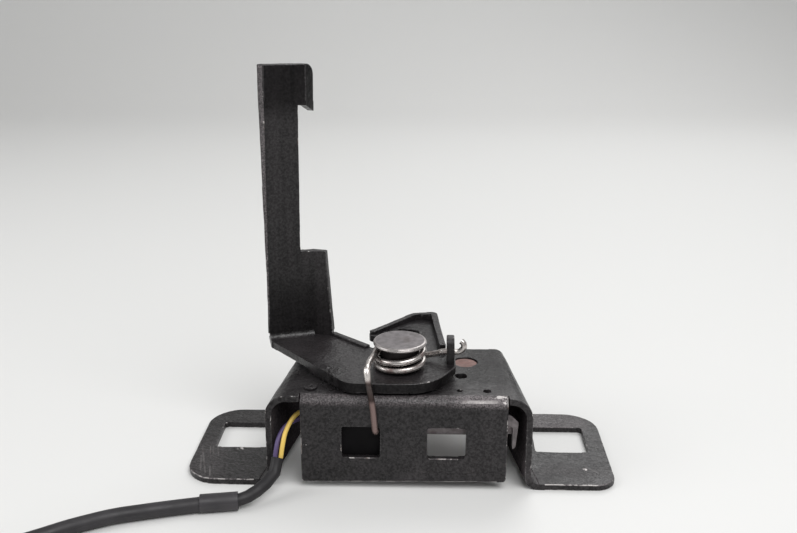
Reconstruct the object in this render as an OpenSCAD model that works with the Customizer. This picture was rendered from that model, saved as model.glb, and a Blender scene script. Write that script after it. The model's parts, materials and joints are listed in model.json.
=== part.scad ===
// Bonnet latch: a pressed lock bracket with a safety catch, rotary claw, release pawl and contact switch.
// Z = 0 is the plane of the two mounting ears, and the Z axis is the safety catch's pivot.

/* [Bracket] */
// Thickness of the bracket's sheet
plate_t = 2.5; // [2:0.1:3]
// Height of the top face above the underside of the ears
bracket_h = 38; // [36:0.5:44]
// Outside width of the channel at its front edge
channel_front_w = 102; // [102:1:106]
// Outside width of the channel at the top plate's rear edge
channel_rear_w = 86; // [84:1:92]
// Outside radius of the channel's upper corners at the front
corner_r = 8.4; // [7:0.1:8.4]
// Outside radius of the same corners at the back of the ears
corner_rear_r = 3.2; // [3:0.1:6]
// Inside radius of the bends between the walls and the ears
foot_r = 3; // [2:0.5:4]
// Distance from the pivot to the front flange's face
pivot_to_front = 18.5; // [18:0.5:22]
// Depth of the top plate, from the front flange's face to its rear edge
top_d = 50; // [48:1:54]
// Set-back of the channel's cut front edge behind the flange's face
front_setback = 1; // [0.5:0.1:2]

/* [Ears] */
// Overall width across both ears
ear_span = 168; // [164:1:176]
// Depth of an ear from front to back
ear_d = 62; // [58:1:66]
// Depth of the pad in front of an ear's window
ear_pad_d = 27; // [24:1:30]
// Width of the strip outside an ear's window
ear_strip_w = 7.2; // [6:0.2:9]
// Width of the square window in an ear
ear_window_w = 21.5; // [17:0.5:22]
// Depth of the square window in an ear
ear_window_d = 22; // [20:0.5:24]
// Radius of an ear's rear outer corner
ear_rear_r = 14; // [8:0.5:16]
// Radius of the right ear's front outer corner
ear_front_r = 8; // [4:0.5:10]
// Radius of the left ear's front outer corner
ear_left_r = 13; // [6:0.5:14]

/* [Front flange] */
// Width of the front flange
flange_w = 78.4; // [74:0.2:78.4]
// Sideways offset of the flange from the pivot
flange_shift = 2; // [0:0.5:2]
// Gap between the flange's lower left corner and the plane of the ears
flange_lift = 2.5; // [2:0.1:5]
// Rise of the flange's lower edge from left to right
flange_rise = 1.2; // [0:0.1:2]
// Outside radius of the flange's bend
flange_r = 4; // [3.5:0.5:6]
// Width of each flange window
window_w = 14.6; // [12:0.2:16]
// Height of each flange window
window_h = 12.8; // [11:0.2:14]
// Distance between the middles of the two flange windows
window_pitch = 32.5; // [30:0.5:34]
// Height of the flange windows' lower edge above the plane of the ears
window_z = 13.2; // [12:0.2:15]

/* [Top plate] */
// Width of the striker's slot
striker_slot_w = 13; // [11:0.5:14]
// Distance of the slot's closed end behind the pivot
striker_slot_y = 15.5; // [14:0.5:17]
// Diameter of the large spare hole
spare_hole_d = 5; // [3:0.5:6]
// Diameter of the small tooling hole
tooling_hole_d = 2.4; // [1.5:0.1:3]
// Diameter of the hole beside the tooling hole
outer_hole_d = 3.2; // [2:0.1:4]

/* [Safety lever] */
// Thickness of the safety lever's sheet
lever_t = 3; // [2.5:0.1:3.4]
// Distance of the lever's front edge from the pivot
lever_front = 16.4; // [15.4:0.1:18.4]
// Distance of the hook's rear edge behind the pivot
hook_reach = 53.5; // [52:0.5:58]
// Height of the rim along the hook's outer edge
hook_rim_h = 3.3; // [2:0.1:5]
// Depth of the down-turned rim along the lever's front
rim_drop = 1; // [0.6:0.1:1]
// Width of the rims
rim_w = 2.6; // [2:0.1:3]
// Height of the spring lug above the lever's top face
lug_h = 10.5; // [10:0.5:14]
// Height of the arm above the lever's top face
arm_h = 113; // [108:1:130]
// Height of the arm's wide foot above the lever's top face
arm_foot_h = 37; // [34:1:46]
// Height of the head's lower edge above the lever's top face
head_z = 97; // [90:1:100]
// Width of the arm's flat face at its foot
arm_foot_w = 19; // [18.8:0.1:21]
// Width of the arm's slim grip
grip_w = 13.6; // [12:0.2:15]
// Width of the arm's head
head_w = 16.8; // [16:0.2:18]
// Width of the foot's folded side facet
facet_w = 8; // [6:0.5:9]
// Narrowing of that facet towards its top
facet_slant = 3; // [1:0.2:4]
// Width of the folded flange with a barb beside the head
barb_w = 5.5; // [4:0.5:9]
// Width of the folded lip along the arm's left edge at its top
lip_w = 2.8; // [2.4:0.2:4]
// Lean of the arm to the right, in degrees
arm_lean = 0.8; // [0:0.1:1.5]

/* [Pivot rivet] */
// Diameter of the rivet's head
head_d = 20.7; // [19:0.1:23]
// Thickness of the rivet's head
head_t = 1.7; // [1.5:0.1:3]
// Diameter of the neck that carries the lever and its spring
neck_d = 15; // [14:0.1:15.4]
// Height of the neck between the lever and the head
neck_h = 9.6; // [9.4:0.1:12]
// Diameter of the stem below the neck
stem_d = 12; // [10:0.1:12.4]
// Thickness of the washer under the lever
washer_t = 2; // [1.6:0.1:3]
// Diameter of the washer under the lever
washer_d = 26; // [22:0.5:28]

/* [Springs] */
// Wire diameter of the lever's spring
lever_wire = 2.4; // [2:0.1:2.5]
// Wire diameter of the claw's and the pawl's springs
inner_wire = 1.6; // [1.2:0.1:1.8]

/* [Claw] */
// Thickness of the claw and the pawl
mech_t = 3.5; // [3:0.1:4]
// Clear height between the top plate and the claw
mech_drop = 13.5; // [12:0.5:14]
// Diameter of the claw's rivet
claw_rivet_d = 10; // [8:0.1:10.4]
// Diameter of the striker bar that the claw holds
striker_d = 8.5; // [7:0.5:9]
// Radius of the claw's heel, on which the pawl rides
heel_r = 15.3; // [14.6:0.1:15.4]
// Angle by which the claw stands open
claw_open = 45; // [42:1:46]

/* [Pawl] */
// Radius of the pawl's boss
pawl_boss_r = 9; // [8:0.1:9.2]
// Height of the cable fork
fork_h = 14.4; // [12:0.2:16]
// Width of the fork's slot for the release cable
fork_slot_w = 2.8; // [2:0.1:3]

/* [Switch] */
// Width of the contact switch
switch_w = 26; // [24:0.5:27]
// Depth of the contact switch with its cover
switch_d = 10; // [9:0.2:10.4]
// Height of the contact switch
switch_h = 24; // [21:0.5:25]
// Thickness of the switch's rear cover
switch_cover_t = 2.4; // [1.6:0.1:3]
// Diameter of the switch's plunger
plunger_d = 4; // [3:0.1:5]

/* [Lead] */
// Diameter of the sheathed cable
cable_d = 5.6; // [5.6:0.1:5.6]
// Diameter of each insulated wire
wire_d = 1.8; // [1.6:0.1:1.8]
// Diameter of the sleeve on the cable
sleeve_d = 6.8; // [6.6:0.1:6.8]
// Length of the sleeve on the cable
sleeve_len = 14; // [10:1:16]
// Length of the connector's housing
plug_len = 26; // [22:1:32]
// Width of the connector's housing
plug_w = 16; // [15:0.5:20]
// Height of the connector's housing
plug_h = 13; // [12.6:0.1:13.4]

/* [Hidden] */
$fn = 48;

// Radial play of a running fit
run_clear = 0.06;
// Play between pieces that are riveted or pressed together
seat_clear = 0.05;
// Gap that keeps wires and moving sheets apart
air = 0.4;
// Length by which one stretch of a folded sheet runs into the next
lap = 0.8;
// Step by which that stretch is thinner, so that no two faces coincide
nest = 0.03;
// Extra length of a cut past the faces it goes through
past = 2;
// Straight steps in each rounded corner
arc_steps = 8;

front_y = -pivot_to_front;
rear_y = front_y + top_d;
under = bracket_h - plate_t;
taper = atan((channel_front_w - channel_rear_w) / 2 / top_d);
lever_z0 = bracket_h + washer_t;
lever_z1 = lever_z0 + lever_t;
head_z0 = lever_z1 + neck_h;
mech_z1 = under - mech_drop;
mech_z0 = mech_z1 - mech_t;

// Places on the top plate, measured from the pivot
claw_pivot = [26, 17.5];
striker = [0, 20.5];
spare_hole = [24, 3.5];
tooling_hole = [23, -10.5];
outer_hole = [33.5, -10.5];

// Directions and arcs in the plane
function unit(v) = v / norm(v);
function turned(v, a) = [v.x * cos(a) - v.y * sin(a), v.x * sin(a) + v.y * cos(a)];
function arc(c, r, a0, a1, n = arc_steps) =
    [for (i = [0:n]) c + r * [cos(a0 + (a1 - a0) * i / n), sin(a0 + (a1 - a0) * i / n)]];
function flat(p) = [p.x, p.y];

// An outline whose corners [x, y, radius] are rounded
function rounded(c) = [for (i = [0:len(c) - 1])
    each corner(c[(i + len(c) - 1) % len(c)], c[i], c[(i + 1) % len(c)])];
function corner(a, p, b) = p.z == 0 ? [flat(p)] :
    let (u = unit(flat(a) - flat(p)),
         v = unit(flat(b) - flat(p)),
         half = acos(u * v) / 2,
         c = flat(p) + unit(u + v) * p.z / sin(half),
         s = flat(p) + u * p.z / tan(half) - c,
         e = flat(p) + v * p.z / tan(half) - c,
         a0 = atan2(s.y, s.x),
         sweep = (atan2(e.y, e.x) - a0 + 540) % 360 - 180)
    arc(c, p.z, a0, a0 + sweep);

// A band of constant width along the left side of a path [x, y, radius]
function left_of(a, b) = turned(unit(flat(b) - flat(a)), 90);
function mitre(path, i, w) =
    let (n1 = left_of(path[max(i - 1, 0)], path[max(i, 1)]),
         n2 = left_of(path[min(i, len(path) - 2)], path[min(i + 1, len(path) - 1)]),
         m = unit(n1 + n2))
    flat(path[i]) + m * w / (m * n1);
// The same path moved a step inwards, with square ends
function nested(path) = [for (i = [0:len(path) - 1])
    let (q = mitre(path, i, nest), r = path[i].z) [q.x, q.y, i == 0 || i == len(path) - 1 ? 0 : r - nest]];
function band(path, w) = rounded(concat(path,
    [for (k = [1:len(path)])
        let (i = len(path) - k, q = mitre(path, i, w)) [q.x, q.y, max(path[i].z - w, 0)]]));

// A skin over like outlines, and a round wire along points with one diameter or one for each point
function tangents(p) = [for (i = [0:len(p) - 1]) unit(p[min(i + 1, len(p) - 1)] - p[max(i - 1, 0)])];
function carried(t, n, i = 0, done = []) = i == len(t) ? done :
    let (m = unit(n - (n * t[i]) * t[i])) carried(t, m, i + 1, concat(done, [m]));
module lofted(rings) {
    sides = len(rings[0]);
    last = len(rings) - 1;
    walls = [for (i = [0:last - 1])
        for (k = [0:sides - 1])
            let (a = i * sides + k, b = i * sides + (k + 1) % sides)
            each [[a, a + sides, b], [b, a + sides, b + sides]]];
    caps = [[for (k = [0:sides - 1]) k], [for (k = [1:sides]) last * sides + sides - k]];
    polyhedron([for (ring = rings) each ring], concat(walls, caps), convexity = 6);
}
module swept(points, d, sides = 8, side_dir = [0.3, 0.2, 1]) {
    t = tangents(points);
    n = carried(t, unit(cross(t[0], side_dir)));
    lofted([for (i = [0:len(points) - 1])
        [for (k = [0:sides - 1])
            let (a = 360 * k / sides, r = (is_list(d) ? d[i] : d) / 2)
            points[i] + r * (cos(a) * n[i] + sin(a) * cross(t[i], n[i]))]]);
}

// Sheets: lying flat, standing across X, and standing across Y
module flat_sheet(z, t) {
    translate([0, 0, z]) linear_extrude(t) children();
}
module across_x(x, t) {
    translate([x, 0, 0]) rotate([90, 0, 90]) linear_extrude(t) children();
}
module across_y(y, t) {
    translate([0, y + t, 0]) rotate([90, 0, 0]) linear_extrude(t) children();
}
module both_sides() {
    children();
    mirror([1, 0, 0]) children();
}
module drill(at, d, z0, z1) {
    translate([at.x, at.y, z0]) cylinder(d = d, h = z1 - z0);
}
module tube_ring(at, d_out, d_in, z0, z1) {
    difference() {
        drill(at, d_out, z0, z1);
        drill(at, d_in, z0 - past, z1 + past);
    }
}

// Bracket: top plate, two walls folded out into ears, and a front flange with two windows
ear_x = ear_span / 2;
// Distance from the middle plane to a line beside the wall, at a depth y
function beside_wall(out, y) = channel_front_w / 2 + out / cos(taper) - (y - front_y) * tan(taper);
ear_y1 = front_y + ear_d;
window_x1 = ear_x - ear_strip_w;
front_cut = front_y + front_setback;

// Outside radius of the upper corner at a depth y, and the wall's cross-section there
function corner_at(y) = corner_r + (corner_rear_r - corner_r) * (y - front_y) / ear_d;
function wall_section(r) =
    let (top_c = [-r, bracket_h - r],
         foot_c = [foot_r, foot_r + plate_t])
    concat([[top_c.x - lap, bracket_h - nest]], arc(top_c, r - nest, 90, 0),
        arc(foot_c, foot_r + nest, 180, 270), [[foot_c.x + lap, plate_t - nest], [foot_c.x + lap, nest]],
        arc(foot_c, foot_r + plate_t - nest, 270, 180), arc(top_c, r - plate_t + nest, 0, 90),
        [[top_c.x - lap, under + nest]]);
function wall_ring(y) = [for (p = wall_section(corner_at(y))) [beside_wall(0, y) + p.x, y, p.y]];
module wall() {
    intersection() {
        lofted([wall_ring(front_y - past), wall_ring(ear_y1 + past)]);
        across_x(0, ear_span)
            polygon([[front_cut + nest, -past], [ear_y1 - nest, -past], [ear_y1 - nest, plate_t + foot_r / 2],
                     [rear_y - nest, under - lap], [rear_y - nest, bracket_h + past],
                     [front_cut + nest, bracket_h + past]]);
    }
}
module ear(front_r) {
    window_y0 = front_y + ear_pad_d;
    flat_sheet(0, plate_t)
        difference() {
            polygon(rounded([[beside_wall(foot_r + lap / 2, front_cut), front_cut, 0],
                             [ear_x, front_cut, front_r], [ear_x, ear_y1, ear_rear_r],
                             [beside_wall(foot_r + lap / 2, ear_y1), ear_y1, 0]]));
            polygon(rounded([[window_x1 - ear_window_w, window_y0, 1], [window_x1, window_y0, 1],
                             [window_x1, window_y0 + ear_window_d, 1.5],
                             [window_x1 - ear_window_w, window_y0 + ear_window_d, 1]]));
        }
}
module top_plate() {
    front_x = beside_wall(0, front_cut) - corner_at(front_cut) - lap / 2;
    rear_x = beside_wall(0, rear_y) - corner_at(rear_y) - lap / 2;
    half_slot = striker_slot_w / 2;
    slot_r = half_slot - 0.1;
    mouth_r = 4;
    bend_y = front_y + flange_r;
    relief = 0.4;
    flange_x0 = flange_shift - flange_w / 2 - relief;
    flange_x1 = flange_shift + flange_w / 2 + relief;
    flat_sheet(under, plate_t)
        polygon(concat(
            [[-front_x, front_cut], [flange_x0, front_cut], [flange_x0, bend_y], [flange_x1, bend_y],
             [flange_x1, front_cut], [front_x, front_cut], [rear_x, rear_y]],
            corner([rear_x, rear_y, 0], [half_slot, rear_y, mouth_r], [half_slot, striker_slot_y, 0]),
            corner([half_slot, rear_y, 0], [half_slot, striker_slot_y, slot_r],
                [-half_slot, striker_slot_y, 0]),
            corner([half_slot, striker_slot_y, 0], [-half_slot, striker_slot_y, slot_r],
                [-half_slot, rear_y, 0]),
            corner([-half_slot, striker_slot_y, 0], [-half_slot, rear_y, mouth_r], [-rear_x, rear_y, 0]),
            [[-rear_x, rear_y]]));
}
module front_flange() {
    c = [front_y + flange_r, bracket_h - flange_r];
    corner_cut = 1.5;
    half = flange_w / 2;
    translate([flange_shift, 0, 0])
        difference() {
            intersection() {
                across_x(-half, flange_w)
                    polygon(concat(arc(c, flange_r, 90, 180),
                        [[front_y, flange_lift / 2], [front_y + plate_t, flange_lift / 2]],
                        arc(c, flange_r - plate_t, 180, 90)));
                across_y(front_y - past, flange_r + 2 * past)
                    polygon(rounded([[-half, flange_lift, corner_cut],
                                     [half, flange_lift + flange_rise, corner_cut],
                                     [half, bracket_h + past, 0], [-half, bracket_h + past, 0]]));
            }
            for (side = [-1, 1])
                across_y(front_y - past, plate_t + 2 * past)
                    translate([side * window_pitch / 2 - window_w / 2, window_z])
                        polygon(rounded([[0, 0, 0.8], [window_w, 0, 0.8], [window_w, window_h, 0.8],
                                         [0, window_h, 0.8]]));
        }
}
module bracket() {
    color("#2b2729")
        difference() {
            union() {
                top_plate();
                front_flange();
                both_sides() wall();
                ear(ear_front_r);
                mirror([1, 0, 0]) ear(ear_left_r);
            }
            drill([0, 0], stem_d + 2 * seat_clear, under - past, bracket_h + past);
            drill(claw_pivot, claw_rivet_d + 2 * seat_clear, under - past, bracket_h + past);
            drill(spare_hole, spare_hole_d, under - past, bracket_h + past);
            drill(tooling_hole, tooling_hole_d, under - past, bracket_h + past);
            drill(outer_hole, outer_hole_d, under - past, bracket_h + past);
            for (at = switch_rivet_at)
                drill(at, rivet_shank_d + 2 * seat_clear, under - past, bracket_h + past);
        }
}

// Safety lever: a flat plate with a rimmed hook, a spring lug and a tall folded arm
arm_left = [-54.4, 25];
arm_angle = 20.5;
bend_r = 2.4;
facet_turn = 35;
lip_turn = 40;
barb_turn = 43;
lug_x = 18.2;
lug_y0 = 2.5;
lug_d = 8.5;
arm_z0 = lever_z1 + bend_r;
arm_z1 = lever_z1 + arm_h;
foot_z1 = lever_z1 + arm_foot_h;
head_z1 = lever_z1 + head_z;
eye_y = lug_y0 + 2.4;
eye_z = lever_z1 + 4.6;
eye_d = lever_wire + 2 * air;
hook_right = [14.4, hook_reach, 3];
hook_rear = [4.2, hook_reach + 1, 7];
hook_tip = [-15.4, 34, 2];

// Corners of the arm's bent cross-section in plan, along the front face of the sheet
facet_end = [arm_foot_w, bend_r] + turned([facet_w, 0], -facet_turn);
barb_end = [head_w, bend_r] + turned([barb_w, 0], barb_turn);
lip_end = [0, bend_r] + turned([-lip_w, 0], -lip_turn);
facet_rear = facet_end + turned([0, lever_t], -facet_turn);

function corner_3(p, r) = [p.x, p.y, r];
function on_arm(p) = arm_left + turned(p, arm_angle);
function between(a, b, t) = a + (b - a) * t;
module at_arm() {
    translate([arm_left.x, arm_left.y, 0]) rotate([0, 0, arm_angle]) children();
}
strip_end = corner_3(on_arm(facet_rear), 0);
strip_root = [-10, 17.2, 6];
hook_root = [lug_x, 14, 0];
plate_left = [-19.5, -lever_front, 8];
plate_right = [12.5, -lever_front, 17];
plate_side = [lug_x + lever_t + 0.6, 1, 3];
module lever_plate() {
    fold_rear = on_arm([arm_foot_w + lever_t * tan(facet_turn / 2), bend_r + lever_t]);
    bend_rear = on_arm([arm_foot_w, bend_r + lever_t]);
    bend_front = on_arm([arm_foot_w, lap / 4]);
    bend_left = on_arm([0, lap / 4]);
    flat_sheet(lever_z0, lever_t)
        difference() {
            polygon(rounded([plate_left, plate_right, plate_side,
                             [plate_side.x, lug_y0 + lug_d + 0.5, 0.8], hook_root, hook_right, hook_rear,
                             hook_tip, [-11, 31.6, 1.5], [-1, 41, 4], [7, 41, 4], [7, 17.6, 4],
                             strip_root, strip_end,
                             corner_3(fold_rear, 0), corner_3(bend_rear, 0), corner_3(bend_front, 0),
                             corner_3(bend_left, 0)]));
            circle(d = neck_d + 2 * run_clear);
        }
}
module lever_rims() {
    strip_rim_h = 1.1;
    tip_rim_h = 0.9;
    tip = corner_3(arm_left, 0);
    rim_z1 = lever_z1 + hook_rim_h;
    difference() {
        flat_sheet(lever_z1 - lap, hook_rim_h + lap)
            polygon(band(nested([between(hook_root, hook_right, 0.04), hook_right, hook_rear,
                                 between(hook_rear, hook_tip, 0.93)]), rim_w));
        across_y(hook_tip.y - 2 * past, hook_reach)
            polygon([[hook_right.x, rim_z1 + nest], [hook_right.x, rim_z1 + past],
                     [hook_tip.x - past, rim_z1 + past], [hook_tip.x - past, lever_z1 + tip_rim_h]]);
    }
    flat_sheet(lever_z1 - lap, strip_rim_h + lap)
        polygon(band(nested([between(strip_root, strip_end, 0.16), between(strip_root, strip_end, 0.97)]),
            rim_w));
    flat_sheet(lever_z0 - rim_drop, rim_drop + lap)
        polygon(band(nested([between(plate_left, tip, 0.5), plate_left, plate_right,
                             between(plate_right, plate_side, 0.8)]), rim_w));
}
module spring_lug() {
    z1 = lever_z1 + lug_h;
    difference() {
        across_x(lug_x, lever_t)
            polygon(rounded([[lug_y0, lever_z1 - lap, 0], [lug_y0 + lug_d, lever_z1 - lap, 0],
                             [lug_y0 + lug_d, z1, 4],
                             [lug_y0, z1, 2.5]]));
        translate([lug_x - past, eye_y, eye_z])
            rotate([0, 90, 0])
                cylinder(d = eye_d, h = lever_t + 2 * past);
    }
}
module upright(path, z0, z1) {
    flat_sheet(z0, z1 - z0) polygon(band([for (p = path) corner_3(p, 0)], lever_t));
}
module upright_nested(path, z0, z1) {
    inner = nested([for (p = path) corner_3(p, 0)]);
    flat_sheet(z0, z1 - z0) polygon(band([for (p = inner) corner_3(p, 0)], lever_t - 2 * nest));
}
// A cutter across a folded part of the arm, drawn in the fold's own plane
module across_fold(u, turn) {
    reach = 30;
    translate([u, bend_r, 0]) rotate([0, 0, turn]) across_y(-reach, 2 * reach) children();
}
module round_off(x, z, r) {
    c = [x - r + nest, z - r + nest];
    polygon(concat([[x + past, c.y], [x + past, z + past], [c.x, z + past]], arc(c, r, 90, 0)));
}
module lever_foot() {
    fold = [arm_foot_w, bend_r];
    facet_in = between(facet_end, fold, nest);
    difference() {
        upright([lip_end, [0, bend_r], fold, facet_end], arm_z0, foot_z1);
        across_fold(arm_foot_w, -facet_turn)
            polygon([[facet_w + nest, arm_z0 + lap], [facet_w - facet_slant, foot_z1 + past],
                     [facet_w + past, foot_z1 + past], [facet_w + past, arm_z0 + lap]]);
    }
    upright_nested([fold + turned([-lap, 0], -facet_turn), facet_in], lever_z1 - lap, arm_z0 + lap);
}
module lever_head() {
    barb_drop = 3.5;
    low = head_z1 - barb_drop;
    difference() {
        upright([lip_end, [0, bend_r], [head_w, bend_r], barb_end], low, arm_z1);
        across_fold(head_w, barb_turn)
            polygon([[-2 * head_w, head_z1], [0, head_z1], [barb_w + past, low - 0.5],
                     [barb_w + past, low - past], [-2 * head_w, low - past]]);
        across_fold(head_w, barb_turn) round_off(barb_w, arm_z1, 4.5);
    }
}
module arm_bend() {
    c = [0, arm_z0];
    outer_r = bend_r + lever_t - nest;
    inner_r = bend_r + nest;
    across_x(nest, arm_foot_w - 2 * nest)
        polygon(concat([[-lap, lever_z0 + nest]], arc(c, outer_r, -90, 0), [[outer_r, arm_z0 + lap]],
            [[inner_r, arm_z0 + lap]], arc(c, inner_r, 0, -90), [[-lap, lever_z1 - nest]]));
}
module leaning() {
    translate([0, 0, arm_z0]) rotate([0, arm_lean, 0]) translate([0, 0, -arm_z0]) children();
}
module lever_arm() {
    lip_foot_w = 0.8;
    lip_in = between(lip_end, [0, bend_r], nest);
    at_arm()
        difference() {
            union() {
                arm_bend();
                leaning() {
                    lever_foot();
                    upright_nested([lip_in, [0, bend_r], [grip_w, bend_r]], foot_z1 - lap, head_z1 + lap);
                    lever_head();
                }
            }
            leaning() across_fold(0, -lip_turn)
                polygon([[-lip_foot_w, arm_z0 - past], [-lip_foot_w, arm_z0 + 20],
                         [-lip_w - 0.2, arm_z1 + past], [-2 * lip_w, arm_z1 + past],
                         [-2 * lip_w, arm_z0 - past]]);
        }
}
module safety_lever() {
    color("#3a3438")
        union() {
            lever_plate();
            lever_rims();
            spring_lug();
            lever_arm();
        }
}

// Pivot rivet: head, neck for the lever and its spring, stem for the pawl, and a formed tail
tail_t = 2;
tail_d = stem_d + 4;
pawl_washer_t = 1.2;
pawl_washer_z = mech_z0 - pawl_washer_t;
tail_z = pawl_washer_z - tail_t;

module pivot_rivet() {
    edge = 0.5;
    profile = [[0, tail_z], [tail_d / 2 - edge, tail_z], [tail_d / 2, tail_z + edge],
               [tail_d / 2, pawl_washer_z], [stem_d / 2, pawl_washer_z], [stem_d / 2, bracket_h],
               [neck_d / 2, bracket_h], [neck_d / 2, head_z0], [head_d / 2 - edge, head_z0],
               [head_d / 2, head_z0 + edge], [head_d / 2, head_z0 + head_t - edge],
               [head_d / 2 - edge, head_z0 + head_t], [0, head_z0 + head_t]];
    color("#848082") rotate_extrude() polygon(profile);
}
module lever_washer() {
    color("#4a4648") tube_ring([0, 0], washer_d, neck_d + 2 * seat_clear, bracket_h, lever_z0);
}

// Lever spring: a torsion coil on the neck, one leg hooked in a flange window, one through the lug's eye
coil_r = neck_d / 2 + air + lever_wire / 2;
coil_z0 = lever_z1 + lever_wire / 2 + 0.15;
coil_top = head_z0 - lever_wire / 2 - 0.6;
// Share of the coil's height that the wire has come down at each quarter turn: the slack coil hangs askew
coil_fall = [0.12, 0.08, 0.09, 0.38, 0.56, 0.6, 0.73, 0.87, 0.98, 1];
coil_quarters = len(coil_fall) - 1;
function coil_z(q) =
    coil_top + (coil_z0 - coil_top) * lookup(q, [for (i = [0:coil_quarters]) [i, coil_fall[i]]]);

module lever_spring() {
    leg_y = min(front_y - 0.25, -lever_front - 0.4) - lever_wire / 2;
    catch_x = flange_shift - window_pitch / 2 + window_w / 2 - lever_wire / 2 - air;
    catch_z = window_z + window_h - lever_wire / 2 - 0.6;
    leg_z = coil_z(0);
    steps = 56;
    fixed_leg = [[catch_x, front_y + plate_t + 0.5, catch_z - 0.3], [catch_x, front_y + 0.6, catch_z - 0.1],
                 [catch_x - 0.1, leg_y + 0.5, catch_z + 0.9], [catch_x - 0.3, leg_y, catch_z + 2.6],
                 [catch_x - 0.9, leg_y, bracket_h - 4], [catch_x - 1.7, leg_y, bracket_h + 2],
                 [catch_x - 2.4, leg_y, lever_z1 + 1], [catch_x - 2.8, leg_y, leg_z - 2.8],
                 [catch_x - 3, leg_y + 0.7, leg_z - 1], [catch_x - 3.1, leg_y + 2.2, leg_z - 0.1],
                 [-coil_r - 2, -12, leg_z], [-coil_r - 0.5, -5, leg_z], [-coil_r, -1.6, leg_z]];
    coil = [for (i = [0:steps])
        let (q = coil_quarters * i / steps, a = 180 - 90 * q)
        [coil_r * cos(a), coil_r * sin(a), coil_z(q)]];
    eye_leg = [[4, coil_r - 0.3, coil_z0 + 0.1], [9, coil_r - 1.6, coil_z0 + 0.5],
               [lug_x - 4, eye_y + 1.1, eye_z - 1.2], [lug_x - 1, eye_y + 0.1, eye_z],
               [lug_x + lever_t + 1.2, eye_y, eye_z], [lug_x + lever_t + 2.6, eye_y, eye_z + 0.5],
               [lug_x + lever_t + 3.7, eye_y, eye_z + 1.8], [lug_x + lever_t + 3.6, eye_y + 0.2, eye_z + 3.4],
               [lug_x + lever_t + 2.6, eye_y + 0.5, eye_z + 4.3]];
    color("#a8a2a0") swept(concat(fixed_leg, coil, eye_leg), lever_wire, 10);
}

// Claw: a rotary fork that closes round the striker, drawn closed and turned open about its rivet
slot_half = striker_d / 2 + 0.5;
seat = striker - claw_pivot;
notch_x = -6.9;
prong_y = seat.y - slot_half - 5.8;
claw_spacer_d = claw_rivet_d + 4;
claw_head_t = 2.3;
claw_play = 0.2;

module claw_outline() {
    tip_x = seat.x - 8.5;
    seat_x = seat.x + slot_half;
    heel_a0 = -acos(notch_x / heel_r);
    polygon(concat(
        rounded([[11.6, -4, 3], [11.6, 8, 6], [3, 11.9, 6], [seat.x + 1, 16.2, 5], [tip_x + 0.5, 13.4, 2],
                 [tip_x - 0.5, seat.y + slot_half, 1.4], [seat_x, seat.y + slot_half, slot_half - 0.05],
                 [seat_x, seat.y - slot_half, slot_half - 0.05], [tip_x, seat.y - slot_half, 1.4],
                 [tip_x + 0.5, prong_y + 1.4, 1.6], [seat.x - 2, prong_y, 3], [notch_x, prong_y, 0]]),
        arc([0, 0], heel_r, heel_a0, -58)));
}
module claw() {
    color("#6b6668")
        translate([claw_pivot.x, claw_pivot.y, mech_z0])
            rotate([0, 0, -claw_open])
                linear_extrude(mech_t)
                    difference() {
                        claw_outline();
                        circle(d = claw_rivet_d + 2 * run_clear);
                    }
}
module claw_rivet() {
    head_z = mech_z0 - claw_play - claw_head_t;
    rivet_head_d = claw_rivet_d + 7;
    edge = 0.6;
    sunk = 0.6;
    profile = [[0, head_z], [rivet_head_d / 2 - edge, head_z], [rivet_head_d / 2, head_z + edge],
               [rivet_head_d / 2, head_z + claw_head_t], [claw_rivet_d / 2, head_z + claw_head_t],
               [claw_rivet_d / 2, bracket_h - sunk - edge / 2],
               [claw_rivet_d / 2 - edge / 2, bracket_h - sunk],
               [0, bracket_h - sunk]];
    color("#9d8580") translate([claw_pivot.x, claw_pivot.y, 0]) rotate_extrude() polygon(profile);
}
module claw_spacer() {
    color("#77716f")
        tube_ring(claw_pivot, claw_spacer_d, claw_rivet_d + 2 * seat_clear, mech_z1 + claw_play, under);
}

// Torsion coil round a spacer, with a fixed leg at its top and a moving leg at its bottom
module torsion_coil(at, core_d, z0, z1, start, turns, top_leg, low_leg) {
    r = core_d / 2 + air + inner_wire / 2;
    steps = 44;
    coil = [for (i = [0:steps])
        let (f = i / steps, a = start + 360 * turns * f)
        [at.x + r * cos(a), at.y + r * sin(a), z0 + (z1 - z0) * f]];
    swept(concat(low_leg, coil, top_leg), inner_wire, 8);
}
module claw_spring() {
    r = claw_spacer_d / 2 + air + inner_wire / 2;
    z0 = mech_z1 + inner_wire / 2 + 0.5;
    z1 = under - inner_wire / 2 - 1.2;
    post = claw_pivot + turned([r, 0], 250);
    hook_out = claw_pivot + turned([r + 7, 0], 184);
    leg_end = post + turned([10, 0], 340);
    color("#8f8b8a")
        torsion_coil(claw_pivot, claw_spacer_d, z0, z1, 270 - 90, 3.2,
            [[post.x + 4.5, post.y - 1.2, z1], [leg_end.x, leg_end.y, z1]],
            [[hook_out.x, hook_out.y - 7.5, z0], [claw_pivot.x - r - 0.2, claw_pivot.y + 3.2, z0]]);
}

// Release pawl: a boss on the stem, a tooth for the claw, a tail for the switch and a fork for the cable
fork_x = [38.4, 46];
fork_y = -10.5;
fork_t = 3;
fork_slot_x = 42.4;
fork_z1 = mech_z1 + 6;
fork_z0 = fork_z1 - fork_h;
tail_y = -2.2;
tooth_gap = 0.35;

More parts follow.
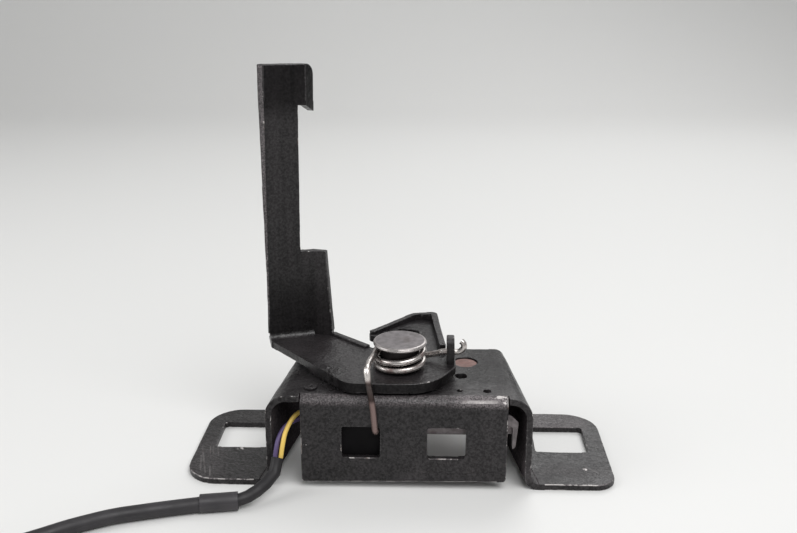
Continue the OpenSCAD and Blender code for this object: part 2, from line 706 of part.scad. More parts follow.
module pawl_outline() {
    tooth = claw_pivot + turned([heel_r + tooth_gap, 0], 246);
    arm_y = fork_y + fork_t;
    circle(r = pawl_boss_r);
    polygon(rounded([[0, -8.6, 0], [fork_x[0] + 0.5, arm_y - 1, 0], [fork_x[0] + 0.5, arm_y, 0],
                     [fork_x[1] - 0.5, arm_y, 0],
                     [fork_x[1] - 0.5, arm_y + 2.6, 2], [34, arm_y + 4.6, 8], [24, -2.6, 4],
                     [tooth.x + 1.2, -1, 1], [tooth.x, tooth.y, 0.4], [tooth.x - 5.5, tooth.y - 0.9, 1.2],
                     [8.6, 6.4, 2], [0, 8, 0]]));
    polygon(rounded([[-19, tail_y, 1], [-9, tail_y, 0], [0, -8, 0], [0, 6.5, 0], [-19, 2.8, 2]]));
}
module release_pawl() {
    slot_top = fork_z1 - 4.6;
    prong_mid = (fork_x[0] + fork_slot_x - fork_slot_w / 2) / 2;
    color("#6f666c")
        union() {
            flat_sheet(mech_z0, mech_t)
                difference() {
                    pawl_outline();
                    circle(d = stem_d + 2 * run_clear);
                }
            across_y(fork_y, fork_t)
                difference() {
                    polygon(rounded([[fork_x[0], fork_z0 + 2, 1], [prong_mid, fork_z0 + 1, 1],
                                     [fork_slot_x, fork_z0, 0], [fork_x[1] - 1, fork_z0, 1.6],
                                     [fork_x[1], fork_z1 - 3, 2], [fork_x[1] - 3, fork_z1, 2],
                                     [fork_x[0], fork_z1, 2]]));
                    polygon(rounded([[fork_slot_x - fork_slot_w / 2, fork_z0 - past, 0],
                                     [fork_slot_x + fork_slot_w / 2, fork_z0 - past, 0],
                                     [fork_slot_x + fork_slot_w / 2, slot_top, fork_slot_w / 2 - 0.05],
                                     [fork_slot_x - fork_slot_w / 2, slot_top, fork_slot_w / 2 - 0.05]]));
                }
        }
}
module pawl_spacer() {
    color("#77716f") tube_ring([0, 0], stem_d + 4, stem_d + 2 * seat_clear, mech_z1 + claw_play, under);
}
module pawl_washer() {
    color("#77716f") tube_ring([0, 0], stem_d + 8, stem_d + 2 * seat_clear, pawl_washer_z, mech_z0 - 0.1);
}
module pawl_spring() {
    core = stem_d + 4;
    r = core / 2 + air + inner_wire / 2;
    z0 = mech_z1 + inner_wire / 2 + 0.5;
    z1 = under - inner_wire / 2 - 1.2;
    color("#8f8b8a")
        torsion_coil([0, 0], core, z0, z1, 270, 3.5,
            [[-4.5, r + 0.1, z1], [-14, r - 0.4, z1]],
            [[-8.4, -r + 2.2, z0], [-4.5, -r + 0.3, z0]]);
}

// Contact switch: housing and rear cover hung from the top plate by two tubular rivets, and a plunger
switch_x0 = -36;
switch_y0 = front_y + plate_t + 1.5;
switch_y1 = switch_y0 + switch_d;
switch_z0 = under - switch_h;
cover_y = switch_y1 - switch_cover_t;
plunger_at = [-15, mech_z0 + mech_t / 2];
plunger_tip = tail_y - air;
plunger_len = plunger_tip - switch_y1 + 3;
rivet_shank_d = 2.6;
rivet_head_d = 5;
switch_rivet_at = [[-33.8, switch_y0 + 4.6], [-13, switch_y0 + 4.6]];
rivet_depth = 6;

module switch_block(y0, y1, r) {
    across_y(y0, y1 - y0)
        polygon(rounded([[switch_x0, switch_z0, r], [switch_x0 + switch_w, switch_z0, r],
                         [switch_x0 + switch_w, under, r], [switch_x0, under, r]]));
}
// Lip that closes the flange window in front of the switch
module switch_lip() {
    lip_t = 2;
    x0 = switch_x0 + switch_w - 2 * lap;
    x1 = flange_shift - window_pitch / 2 + window_w / 2 + 0.5;
    across_y(switch_y0 + nest, lip_t)
        polygon(rounded([[x0, switch_z0 + nest, 0], [x1, switch_z0 + nest, 1], [x1, under - nest, 1],
                         [x0, under - nest, 0]]));
}
module switch_housing() {
    color("#1d1b1c")
        difference() {
            union() {
                switch_block(switch_y0, cover_y, 1.5);
                switch_lip();
            }
            for (at = switch_rivet_at)
                drill(at, rivet_shank_d + 2 * seat_clear, under - rivet_depth - 0.2, under + past);
            translate([plunger_at.x, cover_y - 2.4, plunger_at.y])
                rotate([-90, 0, 0])
                    cylinder(d = plunger_d + 2 * run_clear, h = past + 2.4);
        }
}
module switch_cover() {
    color("#232021")
        difference() {
            switch_block(cover_y, switch_y1, 1.5);
            translate([plunger_at.x, cover_y - past, plunger_at.y])
                rotate([-90, 0, 0])
                    cylinder(d = plunger_d + 2 * run_clear, h = switch_cover_t + 2 * past);
        }
}
module switch_plunger() {
    dome = 0.8;
    len = plunger_tip - cover_y;
    color("#b9b4a6")
        translate([plunger_at.x, cover_y, plunger_at.y])
            rotate([-90, 0, 0])
                rotate_extrude()
                    polygon(concat([[0, 0], [plunger_d / 2, 0]],
                        arc([plunger_d / 2 - dome, len - dome], dome, 0, 90), [[0, len]]));
}
module switch_rivets() {
    head_t = 0.9;
    bore = 1.4;
    color("#57524f")
        for (at = switch_rivet_at)
            difference() {
                union() {
                    drill(at, rivet_shank_d, under - rivet_depth, bracket_h);
                    drill(at, rivet_head_d, bracket_h, bracket_h + head_t);
                }
                drill(at, bore, bracket_h - 3, bracket_h + past);
            }
}

// Lead: two wires from the switch, a boot, a sheathed cable with a sleeve, a coil, its tie and a connector
exit_y = switch_y0 + 5;
yellow_route = [[switch_x0 + 0.4, exit_y, 28.6], [-38.8, -10.5, 27.7], [-41.2, -13, 25.9], [-43.2, -16, 22.3],
                [-44.1, -18.5, 18.1], [-44.8, -20.4, 13]];
violet_route = [[switch_x0 + 0.4, exit_y, 25.4], [-39, -10.4, 25], [-43.4, -13, 23.4], [-45.7, -16, 20.4],
                [-46.5, -18.5, 17.2], [-46.9, -20.5, 13.4]];
boot_route = [[-45.8, -20.6, 13.8], [-46.8, -23.5, 8.9], [-49.5, -27.5, 6.6], [-52.3, -30.5, 5.2],
              [-55.4, -33, 4.2], [-59.2, -34.8, 3.5], [-63.2, -35.6, 3.3]];
boot_sizes = [4.8, 4.8, 4.7, 4.7, 4.7, 4.7, 4.7];
cable_route = [[-62.6, -35.5, 3.3], [-65.8, -35.9, 3.2], [-72.2, -37, 3], [-82.7, -39.7, 2.9],
               [-92.6, -42.7, 2.9], [-102.2, -46, 2.9], [-111.4, -51, 2.9], [-117.3, -54.8, 2.9],
               [-121.2, -57.8, 2.9],
               [-130, -64.2, 2.9], [-140, -71.6, 3.1], [-150.5, -79.8, 3.5], [-157, -85.4, 3.8]];
sleeve_mid = [-65.6, -35.9, 3.42];
sleeve_turn = 190;
tie_t = 1.1;
ring_c = [-142.6, -108.7];
ring_d = 54;
ring_turns = 1.5;
ring_h = (ring_turns + 1) * cable_d;
ring_heading = 32.5;
tail_route = [[-124.35, -129, 12.4], [-116.75, -124, 10.8], [-108.75, -118.8, 8.6], [-101.15, -114, 7],
              [-93.75, -109.2, 6.5]];
plug_at = [-93.75, -109.2, 6.5];

module wire_yellow() {
    color("#e0c373") swept(yellow_route, wire_d, 8);
}
module wire_violet() {
    color("#7b6a97") swept(violet_route, wire_d, 8);
}
module lead_boot() {
    color("#39343a") swept(boot_route, boot_sizes, 12);
}
module lead_cable() {
    color("#2f2b2f") swept(cable_route, cable_d, 10);
}
module lead_sleeve() {
    color("#3b363b")
        translate(sleeve_mid)
            rotate([0, 90, sleeve_turn])
                tube_ring([0, 0], sleeve_d, cable_d + 4 * seat_clear, -sleeve_len / 2, sleeve_len / 2);
}
module lead_coil() {
    r = cable_d / 2;
    color("#2f2b2f")
        translate([ring_c.x, ring_c.y, tie_t])
            rotate_extrude($fn = 96)
                polygon(rounded([[ring_d / 2 - r, 0, r - 0.1], [ring_d / 2 + r, 0, r - 0.1],
                                 [ring_d / 2 + r, ring_h, r - 0.1], [ring_d / 2 - r, ring_h, r - 0.1]]));
}
module lead_tie() {
    tie_w = 4;
    gap = 0.2;
    tie_turn = 150;
    r = cable_d / 2;
    color("#c9c6bf")
        translate([ring_c.x, ring_c.y, 0])
            rotate([0, 0, tie_turn])
                across_y(-tie_w / 2, tie_w)
                    translate([ring_d / 2, 0])
                        difference() {
                            translate([-r - gap - tie_t, 0])
                                square([cable_d + 2 * gap + 2 * tie_t, ring_h + gap + 2 * tie_t]);
                            translate([-r - gap, tie_t - gap / 4])
                                square([cable_d + 2 * gap, ring_h + gap]);
                        }
}
module lead_tail() {
    color("#2f2b2f") swept(tail_route, cable_d, 10);
}
module at_plug() {
    translate(plug_at) rotate([0, 0, ring_heading]) children();
}
plug_wall = 1.6;
plug_seal_len = 5;
pin_y = 2.6;
module plug_housing() {
    mouth = plug_len * 0.6;
    half_w = plug_w / 2;
    half_h = plug_h / 2;
    color("#232124")
        at_plug()
            difference() {
                across_x(plug_seal_len - 1, plug_len)
                    polygon(rounded([[-half_w, -half_h, 2], [half_w, -half_h, 2], [half_w, half_h, 2],
                                     [-half_w, half_h, 2]]));
                across_x(plug_seal_len - 1 + plug_len - mouth, mouth + past)
                    polygon(rounded([[-half_w + plug_wall, -half_h + plug_wall, 1.2],
                                     [half_w - plug_wall, -half_h + plug_wall, 1.2],
                                     [half_w - plug_wall, half_h - plug_wall, 1.2],
                                     [-half_w + plug_wall, half_h - plug_wall, 1.2]]));
                translate([plug_seal_len - 1 - past, 0, 0])
                    rotate([0, 90, 0])
                        cylinder(d = cable_d + 3 + 2 * seat_clear, h = past + 4);
            }
}
module plug_seal() {
    color("#7a4a2c")
        at_plug()
            rotate([0, 90, 0])
                rotate_extrude()
                    polygon([[0, 0], [cable_d / 2 + 1, 0], [cable_d / 2 + 1.5, 1.5], [cable_d / 2 + 1, 2.6],
                             [cable_d / 2 + 1.5, 4], [cable_d / 2 + 1.5, 7], [0, 7]]);
}
module plug_lock() {
    lock_w = 6;
    lock_len = 15;
    start = plug_seal_len + 3;
    color("#38343a")
        at_plug()
            translate([0, -lock_w / 2, 0])
                across_y(0, lock_w)
                    polygon([[start, plug_h / 2], [start + 3, plug_h / 2], [start + 4, plug_h / 2 + 1],
                             [start + lock_len, plug_h / 2 + 1], [start + lock_len, plug_h / 2 + 2.2],
                             [start + 3, plug_h / 2 + 2.2]]);
}
module plug_pins() {
    pin_len = plug_len * 0.45;
    root = plug_seal_len - 1 + plug_len * 0.4;
    pin_w = 1.5;
    color("#b5964a")
        at_plug()
            for (side = [-1, 1])
                translate([root, side * pin_y - pin_w / 2, -pin_w / 4])
                    cube([pin_len, pin_w, pin_w / 2]);
}

bracket();
safety_lever();
pivot_rivet();
lever_washer();
lever_spring();
claw();
claw_rivet();
claw_spacer();
claw_spring();
release_pawl();
pawl_spacer();
pawl_washer();
pawl_spring();
switch_housing();
switch_cover();
switch_plunger();
switch_rivets();
wire_yellow();
wire_violet();
lead_boot();
lead_cable();
lead_sleeve();
lead_coil();
lead_tie();
lead_tail();
plug_housing();
plug_seal();
plug_lock();
plug_pins();
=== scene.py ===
"""Bonnet latch in worn black pressed steel, with its spring, rivets, contact switch and lead."""

import json
import math

import bmesh
import bpy
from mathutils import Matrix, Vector, noise
from mathutils.bvhtree import BVHTree


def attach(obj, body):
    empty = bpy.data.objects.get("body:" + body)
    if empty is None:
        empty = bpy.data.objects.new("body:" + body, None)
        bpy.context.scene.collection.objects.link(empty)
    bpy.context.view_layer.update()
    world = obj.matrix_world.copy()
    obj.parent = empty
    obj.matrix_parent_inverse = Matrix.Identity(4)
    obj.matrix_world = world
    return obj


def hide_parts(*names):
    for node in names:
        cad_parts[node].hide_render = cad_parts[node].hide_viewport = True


bl_info = {
    "name": "Bonnet latch",
    "version": (1, 0, 0),
    "blender": (4, 5, 0),
    "location": "View3D > Sidebar > Latch",
    "description": "Dresses the latch with worn paint, bare steel, spring wire and its lead",
    "category": "Object",
}

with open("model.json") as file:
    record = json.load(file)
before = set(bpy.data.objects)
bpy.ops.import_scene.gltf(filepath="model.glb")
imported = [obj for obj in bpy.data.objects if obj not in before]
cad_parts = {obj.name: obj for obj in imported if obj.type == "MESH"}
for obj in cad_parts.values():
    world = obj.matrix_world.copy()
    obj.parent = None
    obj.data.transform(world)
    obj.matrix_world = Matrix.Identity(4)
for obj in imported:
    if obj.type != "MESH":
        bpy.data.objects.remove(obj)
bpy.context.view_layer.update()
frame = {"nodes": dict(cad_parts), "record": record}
MM = 0.001

# Cleaning of the solids' meshes: points this close become one, wider on the two pressings
JOIN_GAP = 0.07 * MM
PRESSED_JOIN_GAP = 0.2 * MM
SLIVER = 0.01 * MM
FLAT_ANGLE = math.radians(1.2)

# Rounding, in widths of the rounded edge: the depth a face needs, and how far a point may stray
ROOM = 3
STRAY = 0.6
SMOOTH_ANGLE = math.radians(40)

# Unevenness of the worn edges: length of a stretch, and waves per metre of the two kinds of stray
WOBBLE_SEED = 5
WOBBLE_STEP = 2.2 * MM
WOBBLE_MOST_CUTS = 60
WOBBLE_BROAD = 130
WOBBLE_FINE = 420
WOBBLE_FINE_SHARE = 0.5


# Sizes and colours that a user may change


class LatchFinish(bpy.types.PropertyGroup):
    """Paint, steel and wear of the pressed pieces."""

    paint_color: bpy.props.FloatVectorProperty(
        name="Paint", description="Colour of the sound black paint", subtype="COLOR", size=3,
        min=0, max=1, default=(0.0105, 0.0092, 0.0098))
    # Also the colour of the painted sheen on the bend, the ears and the edges
    dust_and_sheen_color: bpy.props.FloatVectorProperty(
        name="Dust", description="Colour of the greyed, scuffed paint", subtype="COLOR", size=3,
        min=0, max=1, default=(0.07, 0.062, 0.064))
    steel_color: bpy.props.FloatVectorProperty(
        name="Steel", description="Colour of bare steel", subtype="COLOR", size=3,
        min=0, max=1, default=(0.58, 0.55, 0.54))
    rust_color: bpy.props.FloatVectorProperty(
        name="Rust", description="Colour of the thin rust film", subtype="COLOR", size=3,
        min=0, max=1, default=(0.12, 0.055, 0.035))
    edge_round: bpy.props.FloatProperty(
        name="Edge rounding", description="Width of the worn edge on cut sheet",
        subtype="DISTANCE", unit="LENGTH", min=0, default=0.35 * MM)
    edge_wobble: bpy.props.FloatProperty(
        name="Edge wobble", description="How far the worn edges stray from a straight line",
        subtype="DISTANCE", unit="LENGTH", min=0, default=0.12 * MM)


class LatchLead(bpy.types.PropertyGroup):
    """The switch's lead."""

    cable_d: bpy.props.FloatProperty(
        name="Cable", description="Diameter of the sheathed cable",
        subtype="DISTANCE", unit="LENGTH", min=0, default=5.6 * MM)
    wire_d: bpy.props.FloatProperty(
        name="Wire", description="Diameter of each insulated wire",
        subtype="DISTANCE", unit="LENGTH", min=0, default=1.8 * MM)
    sheath_color: bpy.props.FloatVectorProperty(
        name="Sheath", description="Colour of the cable's sheath", subtype="COLOR", size=3,
        min=0, max=1, default=(0.022, 0.0205, 0.0225))
    yellow_color: bpy.props.FloatVectorProperty(
        name="Yellow wire", description="Colour of the yellow insulation", subtype="COLOR", size=3,
        min=0, max=1, default=(0.72, 0.5, 0.12))
    violet_color: bpy.props.FloatVectorProperty(
        name="Violet wire", description="Colour of the violet insulation", subtype="COLOR", size=3,
        min=0, max=1, default=(0.085, 0.06, 0.15))


class LatchStage(bpy.types.PropertyGroup):
    """Camera and studio."""

    camera_place: bpy.props.FloatVectorProperty(
        name="Camera", description="Place of the camera",
        subtype="TRANSLATION", unit="LENGTH", size=3, default=(0.0115, -0.3455, 0.193))
    camera_tilt: bpy.props.FloatProperty(
        name="Tilt", description="How far the camera looks down",
        subtype="ANGLE", unit="ROTATION", default=math.radians(17.5))
    camera_turn: bpy.props.FloatProperty(
        name="Turn", description="How far the camera is turned to the left",
        subtype="ANGLE", unit="ROTATION", default=math.radians(2.0))
    lens: bpy.props.FloatProperty(
        name="Lens", description="Focal length on a sensor 36 mm wide, in millimetres",
        min=1, default=43.4)
    floor_color: bpy.props.FloatVectorProperty(
        name="Floor", description="Colour of the floor and backdrop", subtype="COLOR", size=3,
        min=0, max=1, default=(0.74, 0.74, 0.73))


# Shader building blocks


def put(socket, value):
    """Links a socket to another one, or sets its plain value."""
    if isinstance(value, bpy.types.NodeSocket):
        socket.id_data.links.new(value, socket)
    else:
        socket.default_value = value


def shader(name):
    """A new material, with its tree and its surface node."""
    material = bpy.data.materials.new(name)
    material.use_nodes = True
    tree = material.node_tree
    return material, tree, tree.nodes["Principled BSDF"]


def object_place(tree, scale=None):
    """Place of a point of the object, stretched where a scale is given."""
    coords = tree.nodes.new("ShaderNodeTexCoord")
    if scale is None:
        return coords.outputs["Object"]
    mapping = tree.nodes.new("ShaderNodeMapping")
    mapping.inputs["Scale"].default_value = scale
    put(mapping.inputs["Vector"], coords.outputs["Object"])
    return mapping.outputs["Vector"]


def ramp(tree, value, low, high, out_low=0.0, out_high=1.0):
    """A smooth step from one output value to the other."""
    node = tree.nodes.new("ShaderNodeMapRange")
    node.interpolation_type = "SMOOTHSTEP"
    put(node.inputs["Value"], value)
    limits = {"From Min": low, "From Max": high, "To Min": out_low, "To Max": out_high}
    for name, number in limits.items():
        put(node.inputs[name], number)
    return node.outputs["Result"]


def grain(tree, place, scale, detail=4.0, rough=0.55):
    """Noise with so many waves per metre of the place."""
    node = tree.nodes.new("ShaderNodeTexNoise")
    put(node.inputs["Vector"], place)
    put(node.inputs["Scale"], scale)
    put(node.inputs["Detail"], detail)
    put(node.inputs["Roughness"], rough)
    return node.outputs["Fac"]


def sums(tree, operation, a, b):
    node = tree.nodes.new("ShaderNodeMath")
    node.operation = operation
    put(node.inputs[0], a)
    put(node.inputs[1], b)
    return node.outputs[0]


def plus(tree, a, b):
    return sums(tree, "ADD", a, b)


def times(tree, a, b):
    return sums(tree, "MULTIPLY", a, b)


def scaled(color, factor):
    """A colour made lighter or darker."""
    return [min(c * factor, 1.0) for c in color]


def blended(tree, factor, a, b):
    """A mix of two colours."""
    node = tree.nodes.new("ShaderNodeMix")
    node.data_type = "RGBA"
    colors = [s for s in node.inputs if s.type == "RGBA"]
    put(node.inputs[0], factor)
    for socket, value in zip(colors, (a, b)):
        put(socket, value if isinstance(value, bpy.types.NodeSocket) else (*value, 1.0))
    return [s for s in node.outputs if s.type == "RGBA"][0]


def faded(tree, distance, width):
    """1 close by, falling to 0 at the width, which is in millimetres."""
    return ramp(tree, distance, width * 0.25 * MM, width * MM, 1.0, 0.0)


def near(tree, point, radius):
    """1 at a point of the object, falling to 0 at the radius, both in millimetres."""
    node = tree.nodes.new("ShaderNodeVectorMath")
    node.operation = "DISTANCE"
    put(node.inputs[0], object_place(tree))
    node.inputs[1].default_value = [c * MM for c in point]
    return faded(tree, node.outputs["Value"], radius)


def along(tree, direction):
    """Distance of a point of the object along a direction, in metres."""
    node = tree.nodes.new("ShaderNodeVectorMath")
    node.operation = "DOT_PRODUCT"
    put(node.inputs[0], object_place(tree))
    node.inputs[1].default_value = direction
    return node.outputs["Value"]


def within(tree, low, high, soft):
    """1 inside a box of the object, fading to 0 outside it, all in millimetres."""
    inside = 1.0
    for axis in range(3):
        place = along(tree, [float(axis == k) for k in range(3)])
        rise = ramp(tree, place, (low[axis] - soft) * MM, (low[axis] + soft) * MM)
        fall = ramp(tree, place, (high[axis] - soft) * MM, (high[axis] + soft) * MM, 1.0, 0.0)
        inside = times(tree, inside, times(tree, rise, fall))
    return inside


def scratch(tree, start, end, width):
    """1 on a line between two points of the object, fading out sideways, all in millimetres."""
    a, b = Vector(start) * MM, Vector(end) * MM
    run = b - a
    place = object_place(tree)
    share = tree.nodes.new("ShaderNodeMath")
    share.operation = "MULTIPLY_ADD"
    share.use_clamp = True
    put(share.inputs[0], along(tree, run))
    share.inputs[1].default_value = 1 / run.length_squared
    share.inputs[2].default_value = -a.dot(run) / run.length_squared
    foot = tree.nodes.new("ShaderNodeVectorMath")
    foot.operation = "MULTIPLY_ADD"
    put(foot.inputs[0], share.outputs[0])
    foot.inputs[1].default_value = run
    foot.inputs[2].default_value = a
    gap = tree.nodes.new("ShaderNodeVectorMath")
    gap.operation = "DISTANCE"
    put(gap.inputs[0], place)
    put(gap.inputs[1], foot.outputs[0])
    return faded(tree, gap.outputs["Value"], width)


def bumped(tree, height, strength, distance, under=None):
    """A surface raised by a height, on top of another bump where one is given."""
    node = tree.nodes.new("ShaderNodeBump")
    node.inputs["Strength"].default_value = strength
    node.inputs["Distance"].default_value = distance
    put(node.inputs["Height"], height)
    if under is not None:
        put(node.inputs["Normal"], under)
    return node.outputs["Normal"]


# Finishes


def worn_paint(name, finish, shade=1.0, gloss=0.4, chipping=0.8, spots=(), sheen_and_rub=(), painted_shade=(),
               scratches=(), streaks=0.0, bare=1.0):
    """Black paint on steel: mottled, greyed by scuffs and painted sheen, darkened by painted shade,
    scratched, and chipped to metal.

    The paint chips less the higher chipping is. Spots of extra chips are (point, radius, amount),
    the boxes of scuffs with painted sheen and the boxes of painted shade are (low, high, soft edge,
    amount), and scratches are (start, end, width, amount).
    """
    material, tree, bsdf = shader(name)
    place = object_place(tree)
    broad = ramp(tree, grain(tree, place, 48, 5, 0.6), 0.32, 0.7)
    fine = ramp(tree, grain(tree, place, 1050, 5, 0.66), 0.3, 0.7)
    pores = ramp(tree, grain(tree, place, 1700, 3, 0.7), 0.4, 0.66)
    tone = plus(tree, times(tree, broad, 0.35), times(tree, fine, 0.65))
    if streaks:
        runs = ramp(tree, grain(tree, object_place(tree, (260, 260, 9)), 1.0, 3), 0.4, 0.66)
        tone = plus(tree, times(tree, tone, 1 - streaks), times(tree, runs, streaks))
    unshaded = 1.0
    # Painted shade: each box darkens the paint, its scuffs and its gloss
    for low, high, soft, amount in painted_shade:
        cover = times(tree, within(tree, low, high, soft), amount)
        unshaded = times(tree, unshaded, sums(tree, "SUBTRACT", 1.0, cover))
    tone = times(tree, tone, unshaded)
    paint = blended(tree, tone, scaled(finish.paint_color, 0.4 * shade),
                    scaled(finish.paint_color, 2.4 * shade))
    # Grey scuffs at random, and in the boxes grey scuffs with painted sheen
    rub_and_sheen = ramp(tree, grain(tree, place, 26, 8, 0.62), 0.56, 0.86, 0.0, 0.6)
    for low, high, soft, amount in sheen_and_rub:
        rub_and_sheen = plus(tree, rub_and_sheen, times(tree, within(tree, low, high, soft), amount))
    rub_and_sheen = times(tree, rub_and_sheen, unshaded)
    dust_and_sheen = times(tree, rub_and_sheen, plus(tree, 0.1, times(tree, pores, 0.9)))
    paint = blended(tree, dust_and_sheen, paint, scaled(finish.dust_and_sheen_color, 2.4 * shade))
    wear = plus(tree, grain(tree, place, 230, 6, 0.62), times(tree, rub_and_sheen, 0.09))
    for point, radius, amount in spots:
        wear = plus(tree, wear, times(tree, near(tree, point, radius), amount))
    wear = plus(tree, wear, times(tree, broad, 0.1))
    chips = ramp(tree, wear, chipping, chipping + 0.05)
    broken = ramp(tree, grain(tree, place, 110, 3), 0.36, 0.6)
    for start, end, width, amount in scratches:
        mark = times(tree, scratch(tree, start, end, width), times(tree, broken, amount))
        chips = sums(tree, "MAXIMUM", chips, mark)
    rust = ramp(tree, grain(tree, place, 340, 3), 0.55, 0.72)
    metal = blended(tree, rust, scaled(finish.steel_color, bare), scaled(finish.rust_color, bare))
    put(bsdf.inputs["Base Color"], blended(tree, chips, paint, metal))
    put(bsdf.inputs["Metallic"], times(tree, chips, 0.45))
    rough = ramp(tree, broad, 0.0, 1.0, 0.26, 0.42)
    put(bsdf.inputs["Roughness"], plus(tree, rough, times(tree, rub_and_sheen, 0.1)))
    shine = times(tree, ramp(tree, fine, 0.0, 1.0, 0.7 * gloss, 1.3 * gloss), unshaded)
    put(bsdf.inputs["Specular IOR Level"], shine)
    lumps = bumped(tree, grain(tree, place, 520, 5, 0.62), 0.9, 0.3 * MM)
    dents = bumped(tree, grain(tree, place, 85, 3), 0.7, 0.9 * MM, lumps)
    put(bsdf.inputs["Normal"], bumped(tree, times(tree, chips, -1.0), 0.5, 0.08 * MM, dents))
    return material


def bare_steel(name, color, rough, stain, stain_amount=0.5):
    """Dull metal with tool lines and darker stains."""
    material, tree, bsdf = shader(name)
    place = object_place(tree)
    stains = ramp(tree, grain(tree, place, 160, 6, 0.6), 0.5, 0.72)
    mottle = ramp(tree, grain(tree, place, 420, 4), 0.35, 0.65)
    mottled = blended(tree, mottle, color, scaled(color, 0.72))
    put(bsdf.inputs["Base Color"],
        blended(tree, times(tree, stains, stain_amount), mottled, stain))
    bsdf.inputs["Metallic"].default_value = 0.85
    put(bsdf.inputs["Roughness"],
        ramp(tree, grain(tree, place, 240, 4), 0.3, 0.7, rough - 0.08, rough + 0.14))
    tool = grain(tree, object_place(tree, (500, 60, 500)), 4.0, 3)
    put(bsdf.inputs["Normal"], bumped(tree, tool, 0.25, 0.06 * MM))
    return material


# Stretches of the lever spring's front leg, in millimetres: the heights between which it turns
# brown, the painted highlight at the bend as point and radius, and the painted shade below it as
# low, high and soft edge
LEG_BROWN = (37, 47.5)
LEG_HIGHLIGHT = ((-11.5, -19.2, 48.8), 4.5)
LEG_SHADE = ((-14, -24, 37.4), (-6, -17, 45.6), 1.0)


def spring_wire(name, bright, brown):
    """Drawn wire: painted highlight at the front bend, painted shade below it, brown on the low
    leg.
    """
    material, tree, bsdf = shader(name)
    place = object_place(tree)
    low = ramp(tree, along(tree, (0, 0, 1)), LEG_BROWN[0] * MM, LEG_BROWN[1] * MM, 1.0, 0.0)
    stains = ramp(tree, grain(tree, place, 260, 5, 0.62), 0.42, 0.7)
    stains = sums(tree, "MAXIMUM", times(tree, stains, 0.75), times(tree, low, 0.85))
    color = blended(tree, stains, bright, brown)
    # Painted highlight on the front bend of the leg
    leg_highlight = times(tree, near(tree, *LEG_HIGHLIGHT), 0.9)
    color = blended(tree, leg_highlight, color, scaled(bright, 1.7))
    # Painted shade on the leg below the bend
    leg_shade = times(tree, within(tree, *LEG_SHADE), 0.85)
    put(bsdf.inputs["Base Color"], blended(tree, leg_shade, color, scaled(brown, 0.12)))
    bsdf.inputs["Metallic"].default_value = 0.9
    put(bsdf.inputs["Roughness"], plus(tree, 0.24, times(tree, stains, 0.22)))
    drawn = grain(tree, object_place(tree, (300, 300, 900)), 1.0, 3)
    put(bsdf.inputs["Normal"], bumped(tree, drawn, 0.3, 0.08 * MM))
    return material


def moulded(name, color, rough, spread=1.4, pore=1400, gloss=0.4):
    """Plastic or rubber with a fine moulded grain and slight shade variation."""
    material, tree, bsdf = shader(name)
    place = object_place(tree)
    shade = ramp(tree, grain(tree, place, 70, 5), 0.3, 0.72)
    put(bsdf.inputs["Base Color"], blended(tree, shade, color, scaled(color, spread)))
    put(bsdf.inputs["Roughness"],
        ramp(tree, grain(tree, place, 180, 4), 0.3, 0.7, rough - 0.07, rough + 0.1))
    put(bsdf.inputs["Normal"], bumped(tree, grain(tree, place, pore, 2), 0.14, 0.06 * MM))
    bsdf.inputs["Specular IOR Level"].default_value = gloss
    return material


# Pieces made from the latch's solids


def merged_copy(node, name, join):
    """A copy of a solid's mesh, its triangles joined to faces and its closest points to one."""
    mesh = bpy.data.meshes.new(name)
    bm = bmesh.new()
    bm.from_mesh(frame["nodes"][node].data)
    for gap in sorted({JOIN_GAP, join}):
        bmesh.ops.remove_doubles(bm, verts=bm.verts, dist=gap)
        bmesh.ops.dissolve_degenerate(bm, dist=SLIVER, edges=bm.edges)
        bmesh.ops.dissolve_limit(bm, angle_limit=FLAT_ANGLE, verts=bm.verts, edges=bm.edges)
    bmesh.ops.recalc_face_normals(bm, faces=bm.faces)
    bm.to_mesh(mesh)
    bm.free()
    piece = bpy.data.objects.new(name, mesh)
    bpy.context.scene.collection.objects.link(piece)
    return piece


def clear_depth(edge, face, most):
    """How far a face runs on behind one of its edges before its next edge, up to the most."""
    start, end = edge.verts[0].co, edge.verts[1].co
    line = (end - start).normalized()
    inward = face.normal.cross(line)
    if next(loop for loop in edge.link_loops if loop.face is face).vert is edge.verts[1]:
        inward = -inward
    for share in (0.1, 0.5, 0.9):
        spot = start.lerp(end, share)
        for other in face.edges:
            first, last = other.verts[0].co - spot, other.verts[1].co - spot
            before, after = first.dot(line), last.dot(line)
            if other is not edge and before * after < 0:
                depth = first.lerp(last, before / (before - after)).dot(inward)
                most = depth if 0 < depth < most else most
    return most


def roundable(piece, sharp, depth):
    """Marks the outside edges with room for rounding, where no edge without room meets them."""
    bm = bmesh.new()
    bm.from_mesh(piece.data)
    weight = bm.edges.layers.float.new("bevel_weight_edge")
    bent = {edge for edge in bm.edges
            if edge.is_manifold and edge.calc_face_angle() > math.radians(sharp)}
    roomy = {edge for edge in bent if edge.is_convex
             and all(clear_depth(edge, face, depth) >= depth for face in edge.link_faces)}
    for edge in roomy:
        if all(other in roomy for vert in edge.verts for other in vert.link_edges if other in bent):
            edge[weight] = 1.0
    bm.to_mesh(piece.data)
    bm.free()


